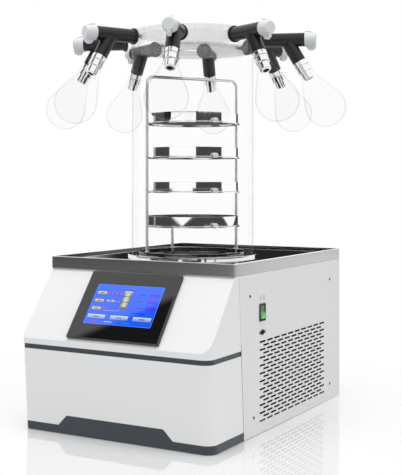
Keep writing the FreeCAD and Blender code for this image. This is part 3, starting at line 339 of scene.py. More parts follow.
@dataclass(frozen=True)
class Rubber(Finish):
    """Moulded black rubber with a soft sheen."""

    _: KW_ONLY
    spread: float = 0.08
    bloom: float = 1.5
    relief: float = 4e-5

    def lay(self, tree: Tree) -> Wire:
        """Bloom of a slightly paler tone over a fine grain.

        Args:
            tree: the material's node tree.

        Returns:
            The surface's shader.
        """
        bloom = tree.noise(45.0, 4.0).ramp(0.35, 0.75)
        return tree.principled(
            Base_Color=tree.mix(bloom, self.colour, deeper(self.colour, self.bloom)),
            Roughness=bloom * self.spread + self.roughness, Specular_IOR_Level=0.4,
            Normal=tree.bump(tree.noise(1800.0, 2.0), self.relief))


class Lines(Enum):
    """How the fine lines of a worked metal run: the noise's scale along x, y and z."""

    EVEN = (60.0, 60.0, 60.0)
    FINE = (300.0, 300.0, 300.0)
    LEVEL = (14.0, 14.0, 1500.0)
    UPRIGHT = (400.0, 400.0, 20.0)
    DEEP = (20.0, 1300.0, 20.0)
    BROAD = (9.0, 9.0, 9.0)


@dataclass(frozen=True)
class Metal(Finish):
    """Bare metal with drawn or polished lines."""

    lines: Lines = Lines.EVEN
    relief: float = 1e-5
    _: KW_ONLY
    depth: float = 0.94
    spread: float = 0.1
    metallic: float = 1.0

    def noises(self, tree: Tree) -> tuple[Wire, Wire, float]:
        """One noise, stretched along the lines."""
        streak = tree.noise(1.0, 3.0, self.lines.value)
        return streak, streak, self.relief


@dataclass(frozen=True)
class Clear(Finish):
    """Glass or acrylic seen as a thin sheet: clear face on, grey at its edges."""

    roughness: float = 0.03
    body: float = 0.03
    edge: float = 0.5
    power: float = 3.0
    smear: float = 0.006

    def lay(self, tree: Tree) -> Wire:
        """Alpha rises from the body value to the edge value as the sheet turns away.

        Args:
            tree: the material's node tree.

        Returns:
            The surface's shader.
        """
        facing = tree.node("LayerWeight", "Facing", {"Blend": 0.5})
        alpha = (facing ** self.power) * (self.edge - self.body) + self.body
        return tree.principled(
            Base_Color=self.colour, Roughness=self.roughness, IOR=1.47,
            Alpha=alpha + tree.noise(22.0, 2.0) * self.smear)


@dataclass(frozen=True)
class Gloss(Finish):
    """Gloss-moulded plastic or a printed glass front."""

    gloss: float = 0.5
    _: KW_ONLY
    depth: float = 0.9

    def lay(self, tree: Tree) -> Wire:
        """A clear smooth face with faint broad variation.

        Args:
            tree: the material's node tree.

        Returns:
            The surface's shader.
        """
        broad = tree.noise(18.0, 2.0)
        return tree.principled(
            Base_Color=self.toned(tree, broad, self.depth),
            Roughness=broad * self.roughness + self.roughness, Specular_IOR_Level=self.gloss)


@dataclass(frozen=True)
class Lamp(Finish):
    """Lit translucent green plastic, brightest at its foot."""

    glow: Colour = (0.1, 0.9, 0.15)
    strength: float = 0.32
    foot: float = 0.24
    head: float = 0.26
    rim: float = 0.25
    dim: float = 0.25

    def lay(self, tree: Tree) -> Wire:
        """The glow grows toward the foot and fades over the rim, its lowest share.

        Args:
            tree: the material's node tree.

        Returns:
            The surface's shader.
        """
        height = tree.axis("Z")
        rim = self.foot + (self.head - self.foot) * self.rim
        edge = height.ramp(self.foot, rim) * (1.0 - self.dim) + self.dim
        low = (1.0 - height.ramp(self.foot, self.head)) * edge
        return tree.principled(
            Base_Color=self.toned(tree, low, 0.35), Roughness=0.22,
            Emission_Color=tree.mix(low, deeper(self.glow, 0.05), self.glow),
            Emission_Strength=self.strength,
            Normal=tree.bump(tree.noise(900.0, 1.0), 2e-5))


@dataclass(frozen=True)
class Painted(Finish):
    """Lit display film: its colours come with the mesh, point by point."""

    strength: float = 0.92
    roughness: float = 0.004

    def lay(self, tree: Tree) -> Wire:
        """Base and emission both read the film's own colours.

        Args:
            tree: the material's node tree.

        Returns:
            The surface's shader.
        """
        ink = tree.node("Attribute", "Color", attribute_name="ink")
        dots = tree.noise(2500.0, 1.0)
        return tree.principled(
            Base_Color=tree.mix(0.9, ink, (0.0, 0.0, 0.0)),
            Roughness=dots * self.roughness + self.roughness,
            Emission_Color=ink, Emission_Strength=self.strength, Specular_IOR_Level=0.78)


@dataclass(frozen=True)
class Foam(Finish):
    """Rigid foam skin: mottled, matt and lumpy."""

    _: KW_ONLY
    depth: float = 0.75
    spread: float = 0.0

    def noises(self, tree: Tree) -> tuple[Wire, Wire, float]:
        """Cells of several sizes."""
        cells = tree.noise(160.0, 5.0)
        return cells, cells, 8e-4


WHITE_PAINT = Coated("white_powder_coat", (0.80, 0.80, 0.805), 0.38, 2200.0, 3e-5)
WHITE_MOULDING = Coated("white_moulding", (0.85, 0.85, 0.85), 0.36, 3000.0, 2e-5)
SLATE_MOULDING = Coated("slate_moulding", (0.036, 0.047, 0.060), 0.42, 3000.0, 3e-5)
BLACK_MOULDING = Coated("black_moulding", NEAR_BLACK, 0.4, 2600.0, 4e-5)
KNOB_MOULDING = Coated("knob_moulding", (0.67, 0.68, 0.69), 0.34, 3000.0, 2e-5)
BLACK_CAN = Coated("black_enamel", NEAR_BLACK, 0.25, 900.0, 3e-5)
MARK_INK = Coated("mark_ink", (0.16, 0.17, 0.18), 0.5, 2600.0, 1e-5)
VALVE_RUBBER = Rubber("valve_rubber", (0.009, 0.009, 0.010), 0.3)
FOOT_RUBBER = Rubber("foot_rubber", (0.02, 0.02, 0.02), 0.7)
# Painted shade: the base pan's zinc is darkened so it reads dark through the lowest vent slots.
SHADED_ZINC = Metal("zinc_plate_painted_shade", (0.10, 0.10, 0.105), 0.35, Lines.EVEN)
SCREW_STEEL = Metal("dark_screw_steel", (0.08, 0.08, 0.085), 0.35, Lines.FINE)
TRAP_STEEL = Metal("trap_steel", (0.62, 0.63, 0.64), 0.22, Lines.LEVEL)
PORT_STEEL = Metal("port_steel", (0.62, 0.63, 0.64), 0.22, Lines.DEEP)
SKIRT_STEEL = Metal("skirt_steel", (0.48, 0.488, 0.496), 0.12, Lines.LEVEL, 3e-6, spread=0.05)
# Painted highlight: the rim's rounded edges are paler than the rest of the deck's steel.
HIGHLIGHT_EDGE_STEEL = Metal("edge_steel_painted_highlight", (0.92, 0.925, 0.93), 0.34, Lines.LEVEL)
DECK_MIRROR = Metal("deck_mirror", (0.62, 0.63, 0.64), 0.025, Lines.BROAD, 0.0, spread=0.01)
SEAL_GLOSS = Metal("seal_gloss", (0.88, 0.885, 0.89), 0.06, Lines.EVEN, 0.0, spread=0.03)
# Painted shade: the trap's raised ring is a darker copy of the deck's steel.
SHADED_RING_STEEL = Metal("ring_steel_painted_shade", (0.24, 0.243, 0.246), 0.05, Lines.BROAD, 0.0, spread=0.03)
TRAY_STEEL = Metal("tray_steel", (0.93, 0.935, 0.94), 0.03, Lines.BROAD, 0.0, spread=0.02)
# Painted shade: the inside of each tray's pan is a darker copy of its steel.
SHADED_TRAY_INSIDE = Metal("tray_inside_painted_shade", (0.34, 0.345, 0.35), 0.22, Lines.EVEN, 2e-6)
ROD_STEEL = Metal("rod_steel", (0.82, 0.83, 0.84), 0.20, Lines.UPRIGHT, 2e-6)
SHELF_STEEL = Metal("shelf_steel", (0.90, 0.905, 0.91), 0.10, Lines.EVEN, 1e-6, spread=0.04)
STUD_STEEL = Metal("stud_steel", (0.96, 0.965, 0.97), 0.22, Lines.EVEN, 2e-6)
# Painted shade: a near-black copy of the deck's steel for the recess wall and the gasket's hidden
# faces.
SHADED_WALL_STEEL = Metal("wall_steel_painted_shade", (0.08, 0.08, 0.082), 0.10, Lines.BROAD, 0.0, spread=0.02)
CHROME = Metal("chrome", (0.89, 0.90, 0.91), 0.10, Lines.EVEN, 1e-6, spread=0.04)
# Painted shade: the condenser fins are near black, so the space behind the vents reads dark.
SHADED_FIN_METAL = Metal("fin_metal_painted_shade", (0.05, 0.05, 0.052), 0.5, Lines.DEEP)
BEZEL_GLOSS = Gloss("bezel_black", (0.005, 0.005, 0.006), 0.004, 0.78)
SWITCH_GLOSS = Gloss("switch_black", (0.008, 0.008, 0.009), 0.12, 0.2)
SCREEN_FILM = Painted("screen_film", (0.05, 0.2, 0.9))
JACKET_FOAM = Foam("jacket_foam", (0.62, 0.55, 0.36), 0.9)
DRUM_CLEAR = Clear("drum_acrylic", (0.34, 0.35, 0.36), 0.03, 0.006, 0.62, 10.0)
INNER_CLEAR = Clear("inner_acrylic", (0.42, 0.43, 0.44), 0.03, 0.004, 0.06, 7.0)
WEB_CLEAR = Clear("web_acrylic", (0.46, 0.47, 0.48), 0.3, 0.30, 0.34, 2.0)
HEAD_CLEAR = Clear("head_acrylic", (0.42, 0.43, 0.44), 0.03, 0.02, 0.35, 4.0)
DISC_CLEAR = Clear("disc_acrylic", (0.50, 0.51, 0.52), 0.3, 0.16, 0.20, 2.0)
FLASK_CLEAR = Clear("flask_glass", (0.28, 0.29, 0.30), 0.03, 0.008, 0.80, 12.0)


# --------------------------------------------------------------------- surfaces


def eased(corners: list[Triple], steps: int = 5) -> Points:
    """Outline with its corners rounded.

    Each corner (a, b, radius) is replaced by the curve
    (1-t)^2 P0 + 2t(1-t) P + t^2 P1, where P0 and P1 lie on the two sides at the
    distance at which a circle of that radius would touch them.

    Args:
        corners: (along, out, radius) of each corner, in order.
        steps: points on each rounding.

    Returns:
        The outline's points, (n, 2).
    """
    flat = np.array([c[:2] for c in corners], float)
    rows: list[Points] = []
    t = np.linspace(0.0, 1.0, steps)[:, None]
    for index, (_, _, radius) in enumerate(corners):
        here = flat[index]
        if radius <= 0 or index in (0, len(corners) - 1):
            rows.append(here[None])
            continue
        back, ahead = flat[index - 1] - here, flat[index + 1] - here
        back_length, ahead_length = np.linalg.norm(back), np.linalg.norm(ahead)
        back, ahead = back / back_length, ahead / ahead_length
        half = math.acos(float(np.clip(back @ ahead, -1, 1))) / 2
        reach = min(radius / math.tan(half), back_length * 0.49, ahead_length * 0.49)
        start, end = here + back * reach, here + ahead * reach
        rows.append((1 - t) ** 2 * start + 2 * t * (1 - t) * here + t ** 2 * end)
    return np.concatenate(rows)


def unit(vector: Points) -> Points:
    """The vector at length 1."""
    return vector / np.linalg.norm(vector)


def full_turn(steps: int) -> Points:
    """Even steps round a circle, in radians."""
    return np.linspace(0, 2 * math.pi, steps, endpoint=False)


@dataclass
class Form:
    """Grids and polygons of one piece, in millimetres; a mark picks a face's finish."""

    points: list[Points] = field(default_factory=list)
    faces: list[tuple[list[int], int]] = field(default_factory=list)
    inks: list[Points] = field(default_factory=list)
    count: int = 0

    def grid(self, points: Points, wrap: bool = False, around: bool = True, mark: int = 0) -> None:
        """Adds a grid of points as quads.

        Args:
            points: (rows, columns, 3).
            wrap: the last row joins the first.
            around: the last column joins the first.
            mark: the mark of its faces.
        """
        rows, columns = points.shape[:2]
        index = np.arange(rows * columns).reshape(rows, columns) + self.count
        if wrap:
            index = np.concatenate([index, index[:1]])
        if around:
            index = np.concatenate([index, index[:, :1]], axis=1)
        quads = np.stack([index[:-1, :-1], index[:-1, 1:], index[1:, 1:], index[1:, :-1]], -1)
        self.faces += [(quad, mark) for quad in quads.reshape(-1, 4).tolist()]
        self.points.append(points.reshape(-1, 3))
        self.count += rows * columns

    def polygon(self, points: Points, ink: Points | None = None, mark: int = 0) -> None:
        """Adds one flat polygon.

        Args:
            points: its corners, (n, 3).
            ink: the colour at each corner, (n, 3), where the film is printed.
            mark: its mark.
        """
        size = len(points)
        self.faces.append((list(range(self.count, self.count + size)), mark))
        self.points.append(points)
        if ink is not None:
            self.inks.append(np.concatenate([ink, np.ones((size, 1))], axis=1))
        self.count += size

    def move(self, basis: Points, origin: Points) -> None:
        """Turns every point by a basis, whose rows are the new axes, and shifts it."""
        self.points = [points @ basis + origin for points in self.points]

    def lathe(self, profile: Points, origin: Points, axis: Points = UP, segments: int = 48,
              loop: bool = False, mark: int = 0) -> None:
        """Adds a surface of revolution.

        A profile point (s, r) at turn a goes to origin + s axis + r (cos a u + sin a v),
        where u and v are square to the axis.

        Args:
            profile: (n, 2) of distance along the axis and radius.
            origin: a point on the axis.
            axis: its direction.
            segments: steps round the axis.
            loop: the profile is a closed line.
            mark: the mark of its faces.
        """
        along = unit(np.asarray(axis, float))
        helper = UP if abs(along[2]) < 0.9 else OUT
        u = unit(np.cross(helper, along))
        v = np.cross(along, u)
        turn = full_turn(segments)[:, None]
        ring = np.cos(turn) * u + np.sin(turn) * v
        grid = (np.asarray(origin, float) + profile[:, None, 0:1] * along
                + profile[:, None, 1:2] * ring[None])
        self.grid(grid, wrap=loop, mark=mark)

    def ring(self, span: Pair, radii: Pair, origin: Points,
             axis: Points = UP, segments: int = 128, loop: bool = True, mark: int = 0) -> None:
        """Adds a ring of rectangular section, by its span along the axis and its two radii.

        Args:
            span: where it starts and ends along the axis.
            radii: its inner and its outer radius.
            origin: the point on the axis where the span counts from.
            axis: its direction.
            segments: steps round the axis.
            loop: the section has an inner side too.
            mark: the mark of its faces.
        """
        (start, end), (inner, outer) = span, radii
        section = np.array([(start, inner), (start, outer), (end, outer), (end, inner)])
        self.lathe(section, origin, axis, segments, loop, mark)

    def bent_rod(self, path: Points, radius: float, normal: Points, segments: int = 16) -> None:
        """Adds a round rod along a path that lies in one plane.

        At each path point the section is p + r (cos a n + sin a m), with n the plane's
        normal and m square to it and to the path.

        Args:
            path: (n, 3), its middle line.
            radius: the rod's radius.
            normal: a vector square to that plane.
            segments: steps round the rod.
        """
        ahead = np.gradient(path, axis=0)
        ahead /= np.linalg.norm(ahead, axis=1)[:, None]
        across = np.cross(ahead, unit(normal))
        turn = full_turn(segments)[None, :, None]
        circle = np.cos(turn) * unit(normal) + np.sin(turn) * across[:, None]
        grid = path[:, None] + radius * circle
        ends = np.repeat(path[[0, -1]][:, None], segments, axis=1)
        self.grid(np.concatenate([ends[:1], grid, ends[1:]]))

    def prism(self, outline: Points, sweep: Points, mark: int = 0) -> None:
        """Adds a flat outline pushed along a vector: two caps and its sides.

        Args:
            outline: its corners in order, (n, 3).
            sweep: the vector that it is pushed along.
            mark: the mark of its faces.
        """
        self.polygon(outline, mark=mark)
        self.polygon((outline + sweep)[::-1], mark=mark)
        self.grid(np.stack([outline, outline + sweep]), mark=mark)

    def object(self, name: str, finishes: list[Finish], body: str = ROOT,
               sharp: float = 32.0, bevel: float = 0.0) -> bpy.types.Object:
        """Makes the Blender object, welded, facing outwards and riding on its body.

        Args:
            name: the object's name.
            finishes: one finish for each mark.
            body: the CAD body that it rides on.
            sharp: edges over this angle, in degrees, stay crisp.
            bevel: width of the rounding on crisp edges, in millimetres.

        Returns:
            The object, at the origin.
        """
        mesh = bpy.data.meshes.new(name)
        points = np.concatenate(self.points) * MM
        mesh.from_pydata(points.tolist(), [], [face for face, _ in self.faces])
        mesh.polygons.foreach_set("material_index", [mark for _, mark in self.faces])
        if self.inks:
            ink = mesh.color_attributes.new("ink", "FLOAT_COLOR", "POINT")
            ink.data.foreach_set("color", np.concatenate(self.inks).ravel())
        else:
            work = bmesh.new()
            work.from_mesh(mesh)
            bmesh.ops.remove_doubles(work, verts=work.verts, dist=1e-7)
            bmesh.ops.dissolve_degenerate(work, edges=work.edges, dist=1e-7)
            bmesh.ops.recalc_face_normals(work, faces=work.faces)
            work.to_mesh(mesh)
            work.free()
            mesh.shade_smooth()
            mesh.set_sharp_from_angle(angle=math.radians(sharp))
        made = bpy.data.objects.new(name, mesh)
        bpy.context.scene.collection.objects.link(made)
        for finish in finishes:
            mesh.materials.append(finish.material())
        if bevel:
            round_edge = made.modifiers.new("round_edge", "BEVEL")
            round_edge.width, round_edge.segments = bevel * MM, 2
            round_edge.limit_method, round_edge.harden_normals = "ANGLE", True
        if not self.inks:
            flat = made.modifiers.new("flat_faces", "WEIGHTED_NORMAL")
            flat.weight, flat.keep_sharp = 90, True
        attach(made, body)
        return made

    def stand_for(self, node: str, finishes: list[Finish], **options: Any) -> None:
        """Makes the object and shows it in place of a CAD node, which it hides.

        Args:
            node: the CAD node that it replaces.
            finishes: one finish for each mark.
            options: body, sharp and bevel, as for object.
        """
        made = self.object(f"{node}_form", finishes, **options)
        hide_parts(node)


def limits(node: str) -> tuple[Points, Points]:
    """Low and high corner of a CAD node's box, in millimetres."""
    low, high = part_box(node)
    return np.array(low) / MM, np.array(high) / MM


def middle(node: str) -> Triple:
    """Middle of a CAD node's box, in millimetres."""
    low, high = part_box(node)
    return tuple((low[k] + high[k]) / 2 / MM for k in range(3))


def drum_axis() -> Points:
    """Foot of the drum's axis."""
    x, y, _ = middle("drum")
    return np.array([x, y, 0.0])


def dress(nodes: list[str], finish: Finish) -> None:
    """Gives CAD nodes a finish in place of their plain one.

    Args:
        nodes: the nodes' names.
        finish: the finish they get.
    """
    for name in nodes:
        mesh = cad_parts[name].data
        mesh.materials.clear()
        mesh.materials.append(finish.material())


# --------------------------------------------------------------- sub-assemblies


@dataclass
class Cabinet:
    """Panels, mouldings, base, switch and sockets, and what stands inside."""

    margin: float = 9.0
    paint: float = 0.15
    glow_share: float = 0.7
    socket_well: Pair = (13.6, 11.0)
    mark_radius: float = 4.4
    mark_gap: float = 8.0
    mark_line: float = 1.1
    mark_rise: float = 12.0
    mark_skin: float = 0.15

    def build(self) -> None:
        """Dresses the cabinet's nodes and prints the switch's marks."""
        for finish, nodes in (
                (WHITE_PAINT, ["rear_panel"]),
                (WHITE_MOULDING, ["front_lower_cover", "front_upper_cover"]),
                (SLATE_MOULDING, ["plinth", "trim_band"]), (SHADED_ZINC, ["base_pan"]),
                (FOOT_RUBBER, ["feet"]), (SCREW_STEEL, ["panel_screws"]),
                (BLACK_MOULDING, ["power_inlet", "fan_shroud", "fan_rotor"]),
                (BEZEL_GLOSS, ["screen_bezel"]), (SWITCH_GLOSS, ["switch_housing"]),
                (TRAP_STEEL, ["cold_trap"]), (JACKET_FOAM, ["trap_insulation"]),
                (BLACK_CAN, ["compressor"]), (SHADED_FIN_METAL, ["condenser"]),
                (PORT_STEEL, ["vacuum_nozzle"])):
            dress(nodes, finish)
        low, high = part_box("side_panel_right")
        # Painted shade: the vent slots' walls, deeper than the outer paint skin, are painted near
        # black.
        margin = self.margin * MM
        dress(["side_panel_right", "side_panel_left"], SlotShadeAndWell(
            "vented_panel_slot_shade", WHITE_PAINT.colour, second=(0.012, 0.012, 0.012),
            low=(low[1] + margin, low[2] + margin), high=(high[1] - margin, high[2] - margin),
            roughness=0.38, grain=(2200.0, 2.0), depth=0.97, reach=high[0] - self.paint * MM))
        low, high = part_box("switch_rocker")
        head = low[2] + (high[2] - low[2]) * self.glow_share
        dress(["switch_rocker"], Lamp("rocker_green", (0.09, 0.36, 0.10), foot=low[2], head=head))
        _, y, z = middle("data_socket")
        wide, tall = self.socket_well[0] / 2, self.socket_well[1] / 2
        dress(["data_socket"], SlotShadeAndWell(
            "socket_face", (0.66, 0.67, 0.68), second=NEAR_BLACK,
            low=((y - wide) * MM, (z - tall) * MM), high=((y + wide) * MM, (z + tall) * MM),
            roughness=0.4, grain=(2600.0, 1.0), depth=1.0))
        self.switch_marks()

    def switch_marks(self) -> None:
        """A bar and a ring printed above the switch, each a thin raised skin."""
        face = limits("side_panel_right")[1][0]
        _, y, _ = middle("switch_housing")
        z = limits("switch_housing")[1][2] + self.mark_rise
        form = Form()
        half, tall = self.mark_line / 2, self.mark_radius
        corners = ((-half, -tall), (half, -tall), (half, tall), (-half, tall))
        bar = np.array([(face, y - self.mark_gap + across, z + up) for across, up in corners])
        form.prism(bar, OUT * self.mark_skin)
        form.ring((0.0, self.mark_skin), (self.mark_radius - self.mark_line, self.mark_radius),
                  np.array([face, y + self.mark_gap, z]), OUT, 32)
        marks = form.object("switch_marks", [MARK_INK])


@dataclass
class Deck:
    """Stainless deck: folded skirt, rim, mirror-bright recess and the trap's raised ring."""

    skirt: float = 26.0
    wall: float = 3.0
    corner: float = 1.5
    fold: float = 14.0
    sheet: float = 2.0
    recess: float = 5.0
    ring: float = 121.0
    ring_wall: float = 2.5
    mouth: float = 104.0
    per_side: int = 56
    inner_edge: tuple[Pair, ...] = ((0.6, 0.0), (0.15, 0.15), (0.0, 0.6))
    foot_edge: tuple[Pair, ...] = ((0.8, 0.0), (0.25, 0.25), (0.0, 0.8))
    edge: tuple[Pair, ...] = ((0.0, 0.8), (0.2, 0.2), (0.8, 0.0))
    bevel: tuple[Pair, ...] = ((0.0, 1.6), (0.2, 0.8), (0.8, 0.2), (1.6, 0.0))

    def outline(self, inset: float, z: float) -> Points:
        """Rounded rectangle: each corner is c + r (cos a, sin a), joined by straight runs.

        Args:
            inset: distance inside the outer skirt.
            z: its height.

        Returns:
            The closed line, (n, 3), with the same n for every inset.
        """
        low, high = (corner[:2] for corner in limits("top_deck"))
        centre, half = (low + high) / 2, (high - low) / 2 - inset
        radius = max(self.corner - inset, 0.2)
        rows: list[Points] = []
        quarter = np.linspace(0, math.pi / 2, 5)
        for number, (sx, sy) in enumerate(((1, 1), (-1, 1), (-1, -1), (1, -1))):
            turn = quarter + number * math.pi / 2
            hub = centre + (half - radius) * (sx, sy)
            rows.append(hub + radius * np.stack([np.cos(turn), np.sin(turn)], -1))
        line: list[Points] = []
        share = np.linspace(0, 1, self.per_side)[1:-1, None]
        for number, arc in enumerate(rows):
            ahead = rows[(number + 1) % 4][0]
            line += [arc, arc[-1] * (1 - share) + ahead * share]
        flat = np.concatenate(line)
        return np.concatenate([flat, np.full((len(flat), 1), z)], axis=1)

    def circle(self, radius: float, z: float) -> Points:
        """Ring about the drum's axis whose points face those of the outline.

        Args:
            radius: the ring's radius.
            z: its height.

        Returns:
            Its points, (n, 3).
        """
        x, y, _ = middle("drum")
        away = self.outline(self.wall, z)[:, :2] - (x, y)
        away /= np.linalg.norm(away, axis=1)[:, None]
        return np.concatenate([away * radius + (x, y), np.full((len(away), 1), z)], axis=1)

    def build(self) -> None:
        """Lays the skirt, rim, recess, ring and underside as strips between closed lines.

        The edges and the bevel are (inset, height) along a rounding.
        """
        foot, ring_top = (corner[2] for corner in limits("top_deck"))
        rim = foot + self.skirt
        deck = rim - self.recess
        under, inside = deck - self.sheet, foot + self.sheet
        inner = self.ring - self.ring_wall
        line, circle, fold, wall = self.outline, self.circle, self.fold, self.wall
        skirt, edge, floor, ring, side = range(5)
        strips = (
            (skirt, [line(fold, inside), line(fold, foot),
                     *(line(inset, foot + rise) for inset, rise in self.foot_edge),
                     line(0.0, rim - self.bevel[0][1])]),
            # The rim's bevel and inner edge carry a painted highlight: a paler steel.
            (edge, [*(line(inset, rim - drop) for inset, drop in self.bevel),
                    *(line(wall - inset, rim - drop) for inset, drop in self.inner_edge)]),
            # Painted shade: the recess's inner wall is near-black steel.
            (side, [line(wall, rim - self.inner_edge[-1][1]), line(wall, deck)]),
            (floor, [line(wall, deck), circle(self.ring, deck)]),
            # The raised ring gets painted shade: a darker steel than the deck floor.
            (ring, [circle(self.ring, deck),
                    *(circle(self.ring - inset, ring_top - drop) for inset, drop in self.edge),
                    *(circle(inner + inset, ring_top - drop) for inset, drop in self.edge[::-1]),
                    circle(inner, deck)]),
            (floor, [circle(inner, deck), circle(self.mouth, deck), circle(self.mouth, under)]),
            (skirt, [circle(self.mouth, under), line(wall, under), line(wall, inside),
                     line(fold, inside)]))
        form = Form()
        for mark, rings in strips:
            form.grid(np.stack(rings), mark=mark)
        form.stand_for(
            "top_deck", [SKIRT_STEEL, HIGHLIGHT_EDGE_STEEL, DECK_MIRROR, SHADED_RING_STEEL, SHADED_WALL_STEEL])


@dataclass
class Screen:
    """The lit picture on the display: generic blocks of colour."""

    slope_deg: float = 37.58
    lift: float = 0.76
    width: float = 161.0
    height: float = 92.6

    def patch(self, form: Form, points: list[Pair], inks: list[Colour], layer: int) -> None:
        """Adds one shape of the picture.

        A point (s, t), from 0 at the upper left to 1 at the lower right, goes to the
        display's middle plus (s - 1/2) width across and (1/2 - t) height up the slope.

        Args:
            form: the picture.
            points: the shape's corners.
            inks: one colour, or one for each corner.
            layer: shapes with a higher layer lie over the others.
        """
        tilt = math.radians(self.slope_deg)
        up = np.array([0.0, math.sin(tilt), math.cos(tilt)])
        out = np.array([0.0, -math.cos(tilt), math.sin(tilt)])
        flat = np.array(points, float)
        across = (flat[:, :1] - 0.5) * self.width * OUT
        rise = (0.5 - flat[:, 1:]) * self.height * up
        place = np.array(middle("lcd_panel")) + out * (self.lift + 0.02 * layer)
        ink = np.array(inks if len(inks) == len(points) else inks * len(points), float)
        form.polygon(place + across + rise, ink)

    def block(self, form: Form, centre: Pair, size: Pair, layer: int, top: Colour,
              foot: Colour | None = None) -> None:
        """A rectangle in one colour, or shaded from its top to its foot.

        Args:
            form: the picture's form.
            centre: its middle, across and down.
            size: its width and its height.
            layer: the layer that it lies on.
            top: the colour along its top.
            foot: the colour along its foot, where that differs.
        """
        (s, t), (w, h) = centre, (size[0] / 2, size[1] / 2)
        corners = [(s - w, t - h), (s + w, t - h), (s + w, t + h), (s - w, t + h)]
        foot = foot or top
        self.patch(form, corners, [top, top, foot, foot], layer)

    def vessel(self, form: Form) -> None:
        """Two shaded halves of a tank, and the ovals that close it.

        Args:
            form: the picture's form.
        """
        edge, glint = (0.05, 0.06, 0.08), (0.62, 0.64, 0.66)
        for left, right, near, far in ((0.432, 0.50, edge, glint), (0.50, 0.568, glint, edge)):
            corners = [(left, 0.16), (right, 0.16), (right, 0.57), (left, 0.57)]
            self.patch(form, corners, [near, far, far, near], 2)
        for t, ink in ((0.16, (0.45, 0.47, 0.5)), (0.57, (0.12, 0.13, 0.15))):
            oval = [(0.5 + 0.068 * math.cos(a), t + 0.03 * math.sin(a)) for a in full_turn(20)]
            self.patch(form, oval, [ink], 3)

    def picture(self, form: Form) -> None:
        """Lays every shape of the picture.

        Each row holds where the blocks stand across and down, then their size, layer and
        colours.

        Args:
            form: the picture's form.
        """
        # Painted reflection: the ground is paler at the top and left and darker at the lower right
        # corner, after the glass's diagonal reflection.
        sky, shaded_corner = (0.018, 0.125, 0.97), (0.008, 0.10, 0.97)
        self.patch(form, [(0, 0), (1, 0), (1, 1), (0, 1)], [sky, sky, shaded_corner, sky], 0)
        night, band, navy = (0.02, 0.03, 0.08), (0.02, 0.03, 0.05), (0.01, 0.04, 0.35)
        line, violet = (0.36, 0.34, 0.50), (0.055, 0.03, 0.86)
        left, right, foot = (0.215, 0.415, 0.615), (0.225, 0.385, 0.55), (0.155, 0.50, 0.84)
        rows = (
            ((0.105,), left, (0.145, 0.095), 1, night),
            ((0.105,), left, (0.135, 0.075), 2, (0.72, 0.68, 0.52), (0.36, 0.34, 0.27)),
            ((0.105,), left, (0.06, 0.022), 3, (0.10, 0.10, 0.12)),
            ((0.23, 0.30, 0.365), (0.215,), (0.035, 0.06), 2,
             (0.50, 0.03, 0.10), (0.14, 0.02, 0.12)),
            ((0.24, 0.31), (0.42,), (0.045, 0.075), 2, (0.62, 0.63, 0.66), (0.10, 0.11, 0.14)),
            ((0.215,), (0.62,), (0.04, 0.07), 2, (0.60, 0.08, 0.05), (0.10, 0.11, 0.2)),
            ((0.30,), (0.215,), (0.27, 0.012), 1, line), ((0.33,), (0.42,), (0.20, 0.012), 1, line),
            ((0.33,), (0.655,), (0.24, 0.012), 1, line), ((0.45,), (0.63,), (0.008, 0.06), 1, line),
            ((0.90,), right, (0.14, 0.08), 1, violet),
            ((0.90,), right, (0.09, 0.018), 2, (0.17, 0.04, 0.72)),
            ((0.73,), right, (0.075, 0.022), 1, navy), ((0.75,), (0.68,), (0.20, 0.018), 1, navy),
            (foot, (0.82,), (0.285, 0.135), 1, (0.02, 0.05, 0.25)),
            (foot, (0.82,), (0.27, 0.11), 2, (0.60, 0.72, 0.98), (0.10, 0.20, 0.80)),
            (foot, (0.82,), (0.08, 0.022), 3, (0.03, 0.06, 0.3)),
            ((0.13,), (0.935,), (0.12, 0.022), 1, (0.25, 0.06, 0.45)),
            ((0.36,), (0.935,), (0.12, 0.022), 1, (0.42, 0.52, 0.95)),
            ((0.63,), (0.935,), (0.12, 0.022), 1, (0.01, 0.32, 0.35)),
            ((0.5,), (0.28, 0.42), (0.15, 0.014), 4, band),
            ((0.43, 0.465, 0.535, 0.57), (0.09,), (0.012, 0.06), 4, (0.25, 0.3, 0.4), night),
            ((0.5,), (0.105,), (0.17, 0.015), 5, (0.03, 0.05, 0.12)))
        for across, down, size, layer, *inks in rows:
            for s, t in product(across, down):
                self.block(form, (s, t), size, layer, *inks)
        self.vessel(form)

    def build(self) -> None:
        """Dresses the display and lays the picture on it."""
        dress(["lcd_panel"], Gloss("display_glass", (0.02, 0.06, 0.4), 0.08))
        form = Form()
        self.picture(form)
        picture = form.object("screen_picture", [SCREEN_FILM])


@dataclass
class Drum:
    """Clear drum on its gasket."""

    wall: float = 8.0
    gasket_bore: float = 126.0

    def build(self) -> None:
        """Turns the drum and the gasket about the drum's axis."""
        axis = drum_axis()
        low, high = limits("drum")
        radius = (high[0] - low[0]) / 2
        inner = radius - self.wall
        tube = Form()
        tube.ring((low[2], high[2]), (inner, radius), axis, loop=False)
        lining = np.array([(high[2], inner), (low[2], inner)])
        tube.lathe(lining, axis, segments=128, mark=1)
        tube.stand_for("drum", [DRUM_CLEAR, INNER_CLEAR])
        low, high = limits("gasket")
        outer = (high[0] - low[0]) / 2
        bore = self.gasket_bore
        face = eased([(low[2], outer, 0), (high[2], outer, 0.8), (high[2], bore, 0)])
        seal = Form()
        seal.lathe(face, axis, segments=96)
        back = np.array([(high[2], bore), (low[2], bore), (low[2], outer)])
        seal.lathe(back, axis, segments=96, mark=1)
        # The gasket's bore and underside get painted shade: near-black steel.
        seal.stand_for("gasket", [SEAL_GLOSS, SHADED_WALL_STEEL])


